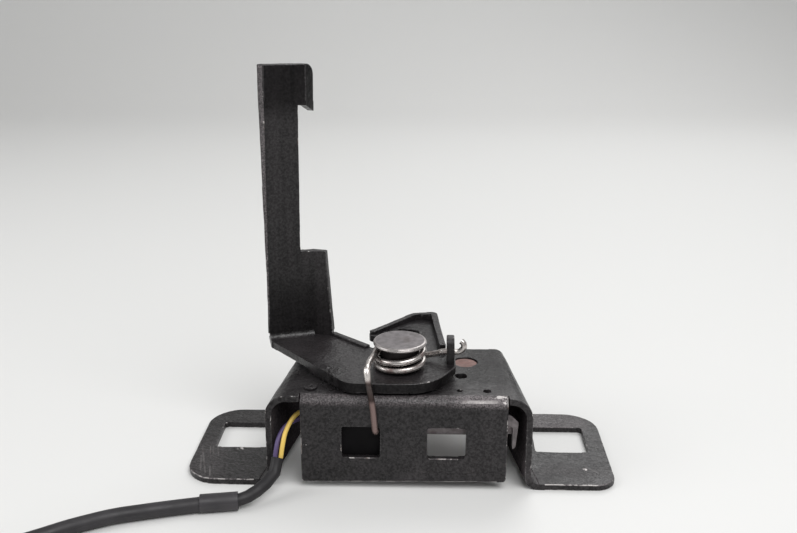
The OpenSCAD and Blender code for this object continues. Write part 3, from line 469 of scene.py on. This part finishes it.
def uneven(piece, amount):
    """Breaks up the long straight edges and moves them a little, as on a hand-worn pressing."""
    bm = bmesh.new()
    bm.from_mesh(piece.data)
    for edge in list(bm.edges):
        cuts = min(int(edge.calc_length() / WOBBLE_STEP), WOBBLE_MOST_CUTS)
        if cuts:
            bmesh.ops.subdivide_edges(bm, edges=[edge], cuts=cuts)
    low, high = ([limit(vert.co[axis] for vert in bm.verts) for axis in range(3)]
                 for limit in (min, max))
    noise.seed_set(WOBBLE_SEED)
    for vert in bm.verts:
        stray = (noise.noise_vector(vert.co * WOBBLE_BROAD)
                 + WOBBLE_FINE_SHARE * noise.noise_vector(vert.co * WOBBLE_FINE))
        moved = vert.co + amount * stray
        vert.co = [min(max(moved[axis], low[axis]), high[axis]) for axis in range(3)]
    bm.to_mesh(piece.data)
    bm.free()


def outline_of(piece):
    """The piece's surface, to measure from."""
    return BVHTree.FromPolygons([vert.co for vert in piece.data.vertices],
                                [list(face.vertices) for face in piece.data.polygons])


def drawn_back(piece, surface, reach):
    """Brings points that the rounding threw further than the reach back onto the surface."""
    for vert in piece.data.vertices:
        place, _, _, gap = surface.find_nearest(vert.co)
        if gap > reach:
            vert.co = place


def evaluated_mesh(thing):
    """A plain mesh of an object with its modifiers."""
    bpy.context.view_layer.update()
    graph = bpy.context.evaluated_depsgraph_get()
    return bpy.data.meshes.new_from_object(thing.evaluated_get(graph))


def apply_modifiers(piece):
    finished = evaluated_mesh(piece)
    piece.modifiers.clear()
    piece.data = finished


def dressed(node, name, materials, edge, sharp=35, segments=2, wobble=0.0, choose=None,
            join=JOIN_GAP):
    """The solid with rounded edges.

    The last material goes on the rounding, and the others where the choice puts them.
    """
    piece = merged_copy(node, name, join)
    if wobble:
        uneven(piece, wobble)
        roundable(piece, sharp, ROOM * edge)
    surface = outline_of(piece)
    for material in materials:
        piece.data.materials.append(material)
    bevel = piece.modifiers.new("Rounded edges", "BEVEL")
    bevel.width = edge
    bevel.segments = segments
    bevel.limit_method = "WEIGHT" if wobble else "ANGLE"
    bevel.angle_limit = math.radians(sharp)
    bevel.material = len(materials) - 1
    bevel.use_clamp_overlap = not wobble
    apply_modifiers(piece)
    drawn_back(piece, surface, STRAY * edge)
    piece.data.shade_smooth()
    piece.data.set_sharp_from_angle(angle=SMOOTH_ANGLE)
    weighted = piece.modifiers.new("Flat faces", "WEIGHTED_NORMAL")
    weighted.keep_sharp = True
    apply_modifiers(piece)
    if choose:
        for face in piece.data.polygons:
            if face.material_index == 0:
                face.material_index = choose(face.center / MM, face.normal)
    body = next(b for b, nodes in frame["record"]["behaviour"]["bodies"].items() if node in nodes)
    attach(piece, body)
    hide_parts(node)
    return piece


# Wires and cable that follow a path


def smooth_path(points, step):
    """Points close together on one smooth curve through the given points."""
    p = [Vector(q) for q in points]
    p = [p[0] * 2 - p[1]] + p + [p[-1] * 2 - p[-2]]
    path = []
    for a, b, c, d in zip(p, p[1:], p[2:], p[3:]):
        count = max(2, round((c - b).length / step))
        for i in range(count):
            t = i / count
            path.append(0.5 * (2 * b + (c - a) * t + (2 * a - 5 * b + 4 * c - d) * t * t
                               + (3 * b - a - 3 * c + d) * t * t * t))
    return path + [p[-2]]


def wire_tree():
    """Sweeps a round section along a curve."""
    tree = bpy.data.node_groups.new("Round wire", "GeometryNodeTree")
    for name, kind in (("Path", "Geometry"), ("Radius", "Float"), ("Sides", "Int"),
                       ("Material", "Material")):
        tree.interface.new_socket(name, in_out="INPUT", socket_type="NodeSocket" + kind)
    tree.interface.new_socket("Wire", in_out="OUTPUT", socket_type="NodeSocketGeometry")
    given = tree.nodes.new("NodeGroupInput")
    made = tree.nodes.new("NodeGroupOutput")
    section = tree.nodes.new("GeometryNodeCurvePrimitiveCircle")
    sweep = tree.nodes.new("GeometryNodeCurveToMesh")
    smooth = tree.nodes.new("GeometryNodeSetShadeSmooth")
    realize = tree.nodes.new("GeometryNodeRealizeInstances")
    coat = tree.nodes.new("GeometryNodeSetMaterial")
    sweep.inputs["Fill Caps"].default_value = True
    links = tree.links
    links.new(given.outputs["Path"], sweep.inputs["Curve"])
    links.new(given.outputs["Radius"], section.inputs["Radius"])
    links.new(given.outputs["Sides"], section.inputs["Resolution"])
    links.new(section.outputs["Curve"], sweep.inputs["Profile Curve"])
    links.new(sweep.outputs["Mesh"], smooth.inputs["Geometry"])
    links.new(smooth.outputs["Geometry"], realize.inputs["Geometry"])
    links.new(realize.outputs["Geometry"], coat.inputs["Geometry"])
    links.new(given.outputs["Material"], coat.inputs["Material"])
    links.new(coat.outputs["Geometry"], made.inputs["Wire"])
    return tree


def swept_wire(name, path, diameter, material, sides=20):
    """A round wire along the path, as a plain mesh with closed ends."""
    tree = bpy.data.node_groups.get("Round wire") or wire_tree()
    curve = bpy.data.curves.new(name + "_path", "CURVE")
    curve.dimensions = "3D"
    line = curve.splines.new("POLY")
    line.points.add(len(path) - 1)
    for point, place in zip(line.points, path):
        point.co = (*place, 1)
    guide = bpy.data.objects.new(name + "_path", curve)
    bpy.context.scene.collection.objects.link(guide)
    modifier = guide.modifiers.new("Round wire", "NODES")
    modifier.node_group = tree
    sockets = {s.name: s.identifier for s in tree.interface.items_tree if s.in_out == "INPUT"}
    modifier[sockets["Radius"]] = diameter / 2
    modifier[sockets["Sides"]] = sides
    modifier[sockets["Material"]] = material
    mesh = evaluated_mesh(guide)
    bpy.data.objects.remove(guide)
    bm = bmesh.new()
    bm.from_mesh(mesh)
    bmesh.ops.remove_doubles(bm, verts=bm.verts, dist=0.001 * MM)
    bmesh.ops.recalc_face_normals(bm, faces=bm.faces)
    bm.to_mesh(mesh)
    bm.free()
    piece = bpy.data.objects.new(name, mesh)
    bpy.context.scene.collection.objects.link(piece)
    return piece


def in_metres(points):
    return [Vector(p) * MM for p in points]


# Routes of the lead and the lever's spring, in millimetres

CABLE_ROUTE = [
    (-62.6, -35.5, 3.3), (-65.8, -35.9, 3.2), (-72.2, -37, 3), (-82.7, -39.7, 2.9),
    (-92.6, -42.7, 2.9), (-102.2, -46, 2.9), (-111.4, -51, 2.9), (-117.3, -54.8, 2.9),
    (-121.2, -57.8, 2.9), (-130, -64.2, 2.9), (-140, -71.6, 3.1), (-150.5, -79.8, 3.5),
    (-157, -85.4, 3.8)]
TAIL_ROUTE = [
    (-124.35, -129, 12.4), (-116.75, -124, 10.8), (-108.75, -118.8, 8.6), (-101.15, -114, 7),
    (-93.75, -109.2, 6.5)]
RING_CENTRE = (-142.6, -108.7)
RING_R = 27
RING_START = 130
RING_TURNS = 532.5 / 360
RING_Z = 3.9
RING_PITCH = 5.7
YELLOW_ROUTE = [
    (-35.6, -9.5, 28.6), (-38.8, -10.5, 27.7), (-41.2, -13, 25.9), (-43.2, -16, 22.3),
    (-44.1, -18.5, 18.1), (-44.8, -20.4, 13)]
VIOLET_ROUTE = [
    (-35.6, -9.5, 25.4), (-39, -10.4, 25), (-43.4, -13, 23.4), (-45.7, -16, 20.4),
    (-46.5, -18.5, 17.2), (-46.9, -20.5, 13.4)]

SPRING_WIRE_D = 2.4
SPRING_FRONT = [
    (-8.55, -15.5, 23.9), (-8.55, -17.9, 24.1), (-8.65, -19.45, 25.1), (-8.85, -19.95, 26.8),
    (-9.45, -19.95, 34), (-10.25, -19.95, 40), (-10.95, -19.95, 44), (-11.35, -19.95, 47.23),
    (-11.55, -19.25, 49.03), (-11.65, -17.75, 49.93), (-11.1, -12, 50.03), (-9.6, -5, 50.03),
    (-9.1, -1.6, 50.03)]
SPRING_EYE = [
    (4, 8.8, 44.45), (9, 7.5, 44.85), (14.2, 6, 46.4), (17.2, 5, 47.6), (22.4, 4.9, 47.6),
    (23.8, 4.9, 48.1), (24.9, 4.9, 49.4), (24.8, 5.1, 51), (23.8, 5.4, 51.9)]
COIL_R = 9.1
COIL_TOP = 50.8
COIL_LOW = 44.35
# Share of the coil's height that the wire has come down at each quarter turn
COIL_FALL = (0.12, 0.08, 0.09, 0.38, 0.56, 0.6, 0.73, 0.87, 0.98, 1)

# Distance between the points of each smooth path
SPRING_STEP = 0.7 * MM
WIRE_STEP = 1.0 * MM
CABLE_STEP = 2.5 * MM


def spring_route():
    """From the flange window over the lever, round the rivet's neck and out to the lug's eye."""
    count = 56
    quarters = len(COIL_FALL) - 1
    coil = []
    for i in range(count + 1):
        q = quarters * i / count
        k = min(int(q), quarters - 1)
        fall = COIL_FALL[k] + (COIL_FALL[k + 1] - COIL_FALL[k]) * (q - k)
        height = COIL_TOP + (COIL_LOW - COIL_TOP) * fall
        a = math.radians(180 - 90 * q)
        coil.append((COIL_R * math.cos(a), COIL_R * math.sin(a), height))
    return SPRING_FRONT + coil + SPRING_EYE


def ring_points():
    """The coiled stretch of the cable, rising a cable's width each turn."""
    count = 40
    points = []
    for i in range(1, count):
        f = i / count
        a = math.radians(RING_START + 360 * RING_TURNS * f)
        points.append((RING_CENTRE[0] + RING_R * math.cos(a), RING_CENTRE[1] + RING_R * math.sin(a),
                       RING_Z + RING_PITCH * RING_TURNS * f))
    return points


# Wear, painted sheen and painted shade of the pressings, in millimetres and in the forms that
# worn_paint takes

# Painted sheen with real rubbing along the front bend of the top plate
BEND_SHEEN_AND_RUB = [
    ((-37, -19.5, 35), (41, -14.8, 39), 1.2, 0.75),
    ((22, -19.5, 35.2), (41, -14.4, 39), 2, 1.3)]
# Painted sheen on the right ear and the plate's front, scuffs on the left ear
BRACKET_SHEEN_AND_RUB = BEND_SHEEN_AND_RUB + [
    ((54, 29, 1), (80, 46, 4), 3, 1.1), ((66, -20, 1), (86, -4, 4), 5, 0.4),
    ((-86, -20, 1), (-70, 14, 4), 4, 0.35), ((18, -16, 36), (44, -9, 39), 3, 0.2)]
# Painted highlights with wear along the front edges of the ears and the flange
BRACKET_RIMS_SHEEN_AND_RUB = BRACKET_SHEEN_AND_RUB + [
    ((-90, -26, 0), (90, -16, 4), 2, 0.9), ((-30, -20, 5), (34, -15, 14), 2, 0.4)]
FLANGE_SPOTS = [
    ((40.5, -17.5, 36), 2, 0.12), ((-36.5, -18.5, 17), 5, 0.2), ((-3.4, -18.5, 22.6), 2.5, 0.2)]
BRACKET_SPOTS = FLANGE_SPOTS + [
    ((-67.4, 38, 2.5), 3, 0.22), ((-66.5, 6.7, 2.5), 3.5, 0.22), ((-55.4, -17, 2.5), 3, 0.2),
    ((75.5, -9, 2.5), 10, 0.09), ((69, -4, 2.5), 4, 0.12)]
BRACKET_SCRATCHES = [
    ((-82, 8, 2.5), (-76, -13, 2.5), 0.5, 0.12), ((-79.6, 13, 2.5), (-73.8, -15, 2.5), 0.45, 0.14),
    ((-77.6, 9, 2.5), (-73.4, -10, 2.5), 0.5, 0.12), ((-77, 15, 2.5), (-72.3, -5, 2.5), 0.45, 0.12),
    ((-80.8, 1, 2.5), (-78.4, -11, 2.5), 0.5, 0.1), ((68, 3, 2.5), (78, -8, 2.5), 0.5, 0.1),
    ((24.5, -17.5, 36.3), (37.5, -17.4, 36.4), 1.3, 0.5)]
# Painted shade on the top plate: its right part, and its left part under the lever
PLATE_PAINTED_SHADE = [
    ((26, -4, 36), (50, 34, 39), 4, 0.75), ((-50, -2, 36), (-20, 34, 39), 5, 0.35)]

LEVER_SPOTS = [
    ((-39.5, 30, 125), 6, 0.14), ((-40, 31, 92), 5, 0.14), ((-38, 4, 43), 4, 0.2)]
# Painted shade on the lever: the arm's head, the arm's foot and the plate's front face
LEVER_PAINTED_SHADE = [
    ((-62, 12, 138), (-20, 48, 162), 5, 0.6), ((-62, 12, 46), (-20, 48, 66), 8, 0.4),
    ((-24, -18, 38), (24, -4, 44), 2, 0.65)]
# Painted light on the lever's top, lightest next to the arm, with some rubbing
LEVER_TOP_LIGHT_AND_RUB = [
    ((-26, -14, 42), (6, 10, 44), 6, 0.25), ((-52, 6, 42), (-24, 32, 44), 6, 0.4)]
# Painted light with some rubbing on the arm's folded lip
LEVER_LIP_LIGHT_AND_RUB = [((-60, 15, 50), (-48, 35, 160), 3, 0.6)]

# Where the finishes change: parts of a face's normal, and places in millimetres
LOOKS_UP = 0.55
LOOKS_BACK = 0.6
LOOKS_INWARD = 0.33
CHANNEL_MIDDLE_Z = 18
CHANNEL_HALF = 50.5
CHANNEL_FRONT_Y = -17
FLANGE_HALF = 42
FLANGE_BACK_Y = -15
LIP_X = -50
LIP_FOOT_Z = 46
LIP_LOOKS_LEFT = -0.12
NECK_TOP_Z = 52.7

# Lamps: name, place, point it looks at, diameter and watts
LAMPS = (
    ("Key", (0.35, -0.55, 0.95), (0, 0, 0.03), 0.9, 9.0),
    ("Side", (-0.9, -0.25, 0.6), (0, 0, 0.05), 0.7, 4.0),
    ("Back", (0.3, 0.75, 0.8), (0, 0, 0.05), 0.8, 4.0))
ROOM_LIGHT = 0.36
SENSOR_WIDTH = 36


# Operators, one for each piece or group of like pieces


class LATCH_OT_stage(bpy.types.Operator):
    """Camera, pale floor with a curved backdrop, and soft studio light"""

    bl_idname = "latch.stage"
    bl_label = "Stage"

    def execute(self, context):
        stage = context.scene.latch_stage
        context.scene.view_settings.view_transform = "Standard"
        camera = bpy.data.objects.new("Camera", bpy.data.cameras.new("Camera"))
        camera.data.lens = stage.lens
        camera.data.sensor_width = SENSOR_WIDTH
        camera.data.sensor_fit = "HORIZONTAL"
        camera.data.clip_start = 0.01
        camera.location = stage.camera_place
        camera.rotation_euler = (math.radians(90) - stage.camera_tilt, 0, stage.camera_turn)
        context.scene.collection.objects.link(camera)
        context.scene.camera = camera
        self.backdrop(stage)
        for lamp in LAMPS:
            self.lamp(*lamp)
        world = bpy.data.worlds.new("Studio")
        context.scene.world = world
        world.use_nodes = True
        sky = world.node_tree.nodes["Background"]
        sky.inputs["Color"].default_value = (1, 1, 1, 1)
        sky.inputs["Strength"].default_value = ROOM_LIGHT
        return {"FINISHED"}

    def backdrop(self, stage):
        """A floor that curves up into a wall behind the part."""
        side, front, back, sweep, top, steps = 3.0, -2.0, 0.9, 0.5, 2.2, 12
        profile = [(front, 0.0), (back, 0.0)]
        for i in range(1, steps + 1):
            a = math.radians(90 * i / steps)
            profile.append((back + sweep * math.sin(a), sweep - sweep * math.cos(a)))
        profile.append((back + sweep, top))
        mesh = bpy.data.meshes.new("Floor")
        points = [(x, y, z) for y, z in profile for x in (-side, side)]
        faces = [(2 * i, 2 * i + 1, 2 * i + 3, 2 * i + 2) for i in range(len(profile) - 1)]
        mesh.from_pydata(points, [], faces)
        mesh.shade_smooth()
        floor = bpy.data.objects.new("Floor", mesh)
        bpy.context.scene.collection.objects.link(floor)
        material, _, bsdf = shader("Pale floor")
        bsdf.inputs["Base Color"].default_value = (*stage.floor_color, 1)
        bsdf.inputs["Roughness"].default_value = 0.6
        mesh.materials.append(material)

    def lamp(self, name, place, target, size, watts):
        """A round soft lamp that looks at its target."""
        light = bpy.data.lights.new(name, "AREA")
        light.shape = "DISK"
        light.size = size
        light.energy = watts
        lamp = bpy.data.objects.new(name, light)
        lamp.location = place
        aim = Vector(target) - Vector(place)
        lamp.rotation_euler = aim.to_track_quat("-Z", "Y").to_euler()
        bpy.context.scene.collection.objects.link(lamp)


class LATCH_OT_lead(bpy.types.Operator):
    """Two wires, the sheathed cable with its coil, and the pieces on it"""

    bl_idname = "latch.lead"
    bl_label = "Lead"

    def execute(self, context):
        lead = context.scene.latch_lead
        sheath = moulded("Cable sheath", lead.sheath_color, rough=0.46, spread=1.7, pore=900)
        sleeve = moulded("Shrunk sleeve", scaled(lead.sheath_color, 1.5), rough=0.4,
                         spread=1.6, pore=700)
        boot = moulded("Boot", scaled(lead.sheath_color, 0.75), rough=0.5,
                       spread=1.6, pore=700, gloss=0.3)
        nylon = moulded("Natural nylon", (0.58, 0.55, 0.48), rough=0.42, spread=1.2)
        plug = moulded("Connector plastic", (0.02, 0.02, 0.022), rough=0.44, spread=1.6)
        rubber = moulded("Seal rubber", (0.2, 0.075, 0.03), rough=0.62, spread=1.3)
        brass = bare_steel("Contact brass", (0.72, 0.5, 0.16), rough=0.3,
                           stain=(0.3, 0.18, 0.05), stain_amount=0.25)
        for name, node, route, color in (
                ("yellow_wire", "wire_yellow", YELLOW_ROUTE, lead.yellow_color),
                ("violet_wire", "wire_violet", VIOLET_ROUTE, lead.violet_color)):
            coat = moulded(name.replace("_", " ").capitalize(), color, rough=0.38, spread=1.25)
            path = smooth_path(in_metres(route), WIRE_STEP)
            wire = swept_wire(name, path, lead.wire_d, coat, sides=16)
            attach(wire, "frame")
            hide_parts(node)
        on_cable = [
            dressed("lead_boot", "cable_boot", [boot], 0.3 * MM, sharp=50),
            dressed("lead_sleeve", "cable_sleeve", [sleeve], 0.3 * MM, sharp=50),
            dressed("lead_tie", "coil_tie", [nylon], 0.25 * MM),
            dressed("plug_housing", "connector_housing", [plug], 0.35 * MM),
            dressed("plug_seal", "connector_seal", [rubber], 0.2 * MM),
            dressed("plug_lock", "connector_lock", [plug], 0.2 * MM),
            dressed("plug_pins", "connector_pins", [brass], 0.15 * MM),
        ]
        path = smooth_path(in_metres(CABLE_ROUTE + ring_points() + TAIL_ROUTE), CABLE_STEP)
        cable = swept_wire("lead_cable_sheath", path, lead.cable_d, sheath, sides=28)
        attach(cable, "frame")
        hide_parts("lead_cable", "lead_coil", "lead_tail")
        return {"FINISHED"}


class LATCH_OT_bracket(bpy.types.Operator):
    """Lock bracket: channel, ears and front flange in chipped black paint"""

    bl_idname = "latch.bracket"
    bl_label = "Bracket"

    def execute(self, context):
        finish = context.scene.latch_finish
        face = worn_paint("Bracket paint", finish, gloss=0.34, chipping=0.82,
                          spots=FLANGE_SPOTS, sheen_and_rub=BEND_SHEEN_AND_RUB)
        # The upper faces get more gloss and the boxes of painted sheen
        top = worn_paint("Bracket upper faces", finish, gloss=0.42, chipping=0.8,
                         spots=BRACKET_SPOTS, sheen_and_rub=BRACKET_SHEEN_AND_RUB, painted_shade=PLATE_PAINTED_SHADE,
                         scratches=BRACKET_SCRATCHES)
        # The channel's inside faces get a copy with no reflection, standing in for the shade there
        inside = worn_paint("Bracket inside", finish, shade=2.4, gloss=0.0, chipping=0.95)
        # The edges' paint is lighter, a painted sheen, and chips to metal more easily
        edge = worn_paint("Bracket edges", finish, shade=1.6, gloss=0.5, chipping=0.61,
                          spots=BRACKET_SPOTS, sheen_and_rub=BRACKET_RIMS_SHEEN_AND_RUB, bare=0.7)
        dressed("bracket", "lock_bracket", [face, top, inside, edge], finish.edge_round,
                wobble=finish.edge_wobble, choose=self.side_of, join=PRESSED_JOIN_GAP)
        return {"FINISHED"}

    def side_of(self, place, normal):
        """Slot for a face: 2 inside the channel, 1 where it looks up, 0 elsewhere."""
        inward = Vector((-place.x, 0, CHANNEL_MIDDLE_Z - place.z))
        in_channel = (abs(place.x) < CHANNEL_HALF and place.y > CHANNEL_FRONT_Y
                      and inward.dot(normal) > LOOKS_INWARD * inward.length)
        behind_flange = (normal.y > LOOKS_BACK and place.y < FLANGE_BACK_Y
                         and abs(place.x) < FLANGE_HALF)
        if in_channel or behind_flange:
            return 2
        return 1 if normal.z > LOOKS_UP else 0


class LATCH_OT_lever(bpy.types.Operator):
    """Safety lever with its hook, lug and folded arm"""

    bl_idname = "latch.lever"
    bl_label = "Safety lever"

    def execute(self, context):
        finish = context.scene.latch_finish
        face = worn_paint("Lever paint", finish, shade=0.95, gloss=0.36, chipping=0.84,
                          spots=LEVER_SPOTS, painted_shade=LEVER_PAINTED_SHADE, streaks=0.55)
        top = worn_paint("Lever upper faces", finish, gloss=0.42, chipping=0.84,
                         spots=LEVER_SPOTS, sheen_and_rub=LEVER_TOP_LIGHT_AND_RUB)
        # The folded lip is painted lighter where it catches the light, with worn streaks
        lip = worn_paint("Lever lip painted light", finish, shade=1.4, gloss=0.5, chipping=0.74,
                         spots=LEVER_SPOTS, sheen_and_rub=LEVER_LIP_LIGHT_AND_RUB, streaks=0.6)
        # The edges' paint is lighter, a painted sheen, and chips to metal more easily
        edge = worn_paint("Lever edges", finish, shade=1.5, gloss=0.5, chipping=0.655,
                          spots=LEVER_SPOTS, bare=0.6)
        dressed("safety_lever", "safety_catch", [face, top, lip, edge], finish.edge_round,
                wobble=finish.edge_wobble, choose=self.side_of, join=PRESSED_JOIN_GAP)
        return {"FINISHED"}

    def side_of(self, place, normal):
        """Slot for a face: 1 where it looks up, 2 on the arm's folded lip, 0 elsewhere."""
        if normal.z > LOOKS_UP:
            return 1
        on_lip = (place.x < LIP_X and place.z > LIP_FOOT_Z
                  and normal.x < LIP_LOOKS_LEFT and normal.y < LOOKS_BACK)
        return 2 if on_lip else 0


class LATCH_OT_pivot(bpy.types.Operator):
    """Pivot rivet, lever washer, the flush claw rivet and the switch's tubular rivets"""

    bl_idname = "latch.pivot"
    bl_label = "Rivets and washers"

    def execute(self, context):
        finish = context.scene.latch_finish
        steel = bare_steel("Rivet steel", (0.24, 0.222, 0.228), rough=0.4,
                           stain=(0.09, 0.07, 0.065), stain_amount=0.55)
        # The neck under the head is painted near black as the head's shadow
        neck = bare_steel("Rivet neck painted shade", (0.025, 0.021, 0.021), rough=0.5,
                          stain=(0.015, 0.01, 0.01))
        rim = bare_steel("Rivet rim", (0.5, 0.47, 0.46), rough=0.34,
                         stain=(0.12, 0.08, 0.06))
        pink = bare_steel("Peened steel", (0.24, 0.15, 0.135), rough=0.45,
                          stain=(0.12, 0.055, 0.045), stain_amount=0.6)
        washer = worn_paint("Washer paint", finish)
        tube = worn_paint("Tube rivet paint", finish, shade=1.2, chipping=0.7)
        dressed("pivot_rivet", "pivot_pin", [steel, neck, rim], 0.45 * MM, sharp=25, segments=3,
                choose=self.side_of)
        dressed("lever_washer", "pivot_washer", [washer], 0.2 * MM)
        dressed("claw_rivet", "claw_pin", [pink], 0.25 * MM)
        dressed("switch_rivets", "tubular_rivets", [tube], 0.25 * MM)
        return {"FINISHED"}

    def side_of(self, place, normal):
        """Slot for a face: 1 on the neck under the head, painted dark as the head's shadow, 0
        elsewhere.
        """
        return 1 if place.z < NECK_TOP_Z else 0


class LATCH_OT_mechanism(bpy.types.Operator):
    """Claw, pawl and the spacers under the top plate"""

    bl_idname = "latch.mechanism"
    bl_label = "Claw and pawl"

    def execute(self, context):
        steel = bare_steel("Mechanism steel", (0.26, 0.235, 0.24), rough=0.44,
                           stain=(0.09, 0.055, 0.05), stain_amount=0.6)
        edge = bare_steel("Mechanism edges", (0.4, 0.37, 0.37), rough=0.36,
                          stain=(0.1, 0.06, 0.05), stain_amount=0.6)
        for node, name in (("claw", "rotary_claw"), ("release_pawl", "release_pawl_plate"),
                           ("claw_spacer", "claw_sleeve"), ("pawl_spacer", "pawl_sleeve"),
                           ("pawl_washer", "pawl_shim")):
            dressed(node, name, [steel, edge], 0.3 * MM)
        return {"FINISHED"}


class LATCH_OT_springs(bpy.types.Operator):
    """Torsion springs of the lever, the claw and the pawl"""

    bl_idname = "latch.springs"
    bl_label = "Springs"

    def execute(self, context):
        wire = spring_wire("Spring wire", (0.56, 0.53, 0.51), (0.17, 0.1, 0.09))
        inner = spring_wire("Inner spring wire", (0.4, 0.37, 0.36), (0.14, 0.09, 0.07))
        path = smooth_path(in_metres(spring_route()), SPRING_STEP)
        lever_coil = swept_wire("lever_coil", path, SPRING_WIRE_D * MM, wire)
        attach(lever_coil, "frame")
        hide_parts("lever_spring")
        for node, name in (("claw_spring", "claw_coil"), ("pawl_spring", "pawl_coil")):
            dressed(node, name, [inner], 0.01 * MM, sharp=70, segments=1)
        return {"FINISHED"}


class LATCH_OT_switch(bpy.types.Operator):
    """Contact switch with its cover and plunger"""

    bl_idname = "latch.switch"
    bl_label = "Contact switch"

    def execute(self, context):
        body = moulded("Switch plastic", (0.006, 0.0055, 0.006), rough=0.62, spread=1.6, gloss=0.08)
        nylon = moulded("Plunger nylon", (0.55, 0.52, 0.45), rough=0.4, spread=1.2)
        dressed("switch_housing", "switch_case", [body], 0.3 * MM)
        dressed("switch_cover", "switch_lid", [body], 0.3 * MM)
        dressed("switch_plunger", "switch_button", [nylon], 0.1 * MM)
        return {"FINISHED"}


class LATCH_PT_panel(bpy.types.Panel):
    """Lists the latch's operators and settings"""

    bl_idname = "LATCH_PT_panel"
    bl_label = "Bonnet latch"
    bl_space_type = "VIEW_3D"
    bl_region_type = "UI"
    bl_category = "Latch"

    def draw(self, context):
        scene = context.scene
        for group in (scene.latch_stage, scene.latch_finish, scene.latch_lead):
            box = self.layout.box()
            for name in group.bl_rna.properties.keys():
                if name not in ("rna_type", "name"):
                    box.prop(group, name)
        for operator in OPERATORS:
            self.layout.operator(operator.bl_idname)


GROUPS = (LatchFinish, LatchLead, LatchStage)
OPERATORS = (LATCH_OT_stage, LATCH_OT_lead, LATCH_OT_bracket, LATCH_OT_lever, LATCH_OT_pivot,
             LATCH_OT_mechanism, LATCH_OT_springs, LATCH_OT_switch)


def register():
    for cls in (*GROUPS, *OPERATORS, LATCH_PT_panel):
        bpy.utils.register_class(cls)
    bpy.types.Scene.latch_finish = bpy.props.PointerProperty(type=LatchFinish)
    bpy.types.Scene.latch_lead = bpy.props.PointerProperty(type=LatchLead)
    bpy.types.Scene.latch_stage = bpy.props.PointerProperty(type=LatchStage)


def unregister():
    del bpy.types.Scene.latch_stage
    del bpy.types.Scene.latch_lead
    del bpy.types.Scene.latch_finish
    for cls in reversed((*GROUPS, *OPERATORS, LATCH_PT_panel)):
        bpy.utils.unregister_class(cls)


def main():
    register()
    bpy.ops.latch.stage()
    bpy.ops.latch.lead()
    bpy.ops.latch.bracket()
    bpy.ops.latch.lever()
    bpy.ops.latch.pivot()
    bpy.ops.latch.mechanism()
    bpy.ops.latch.springs()
    bpy.ops.latch.switch()


if __name__ == "__main__":
    main()
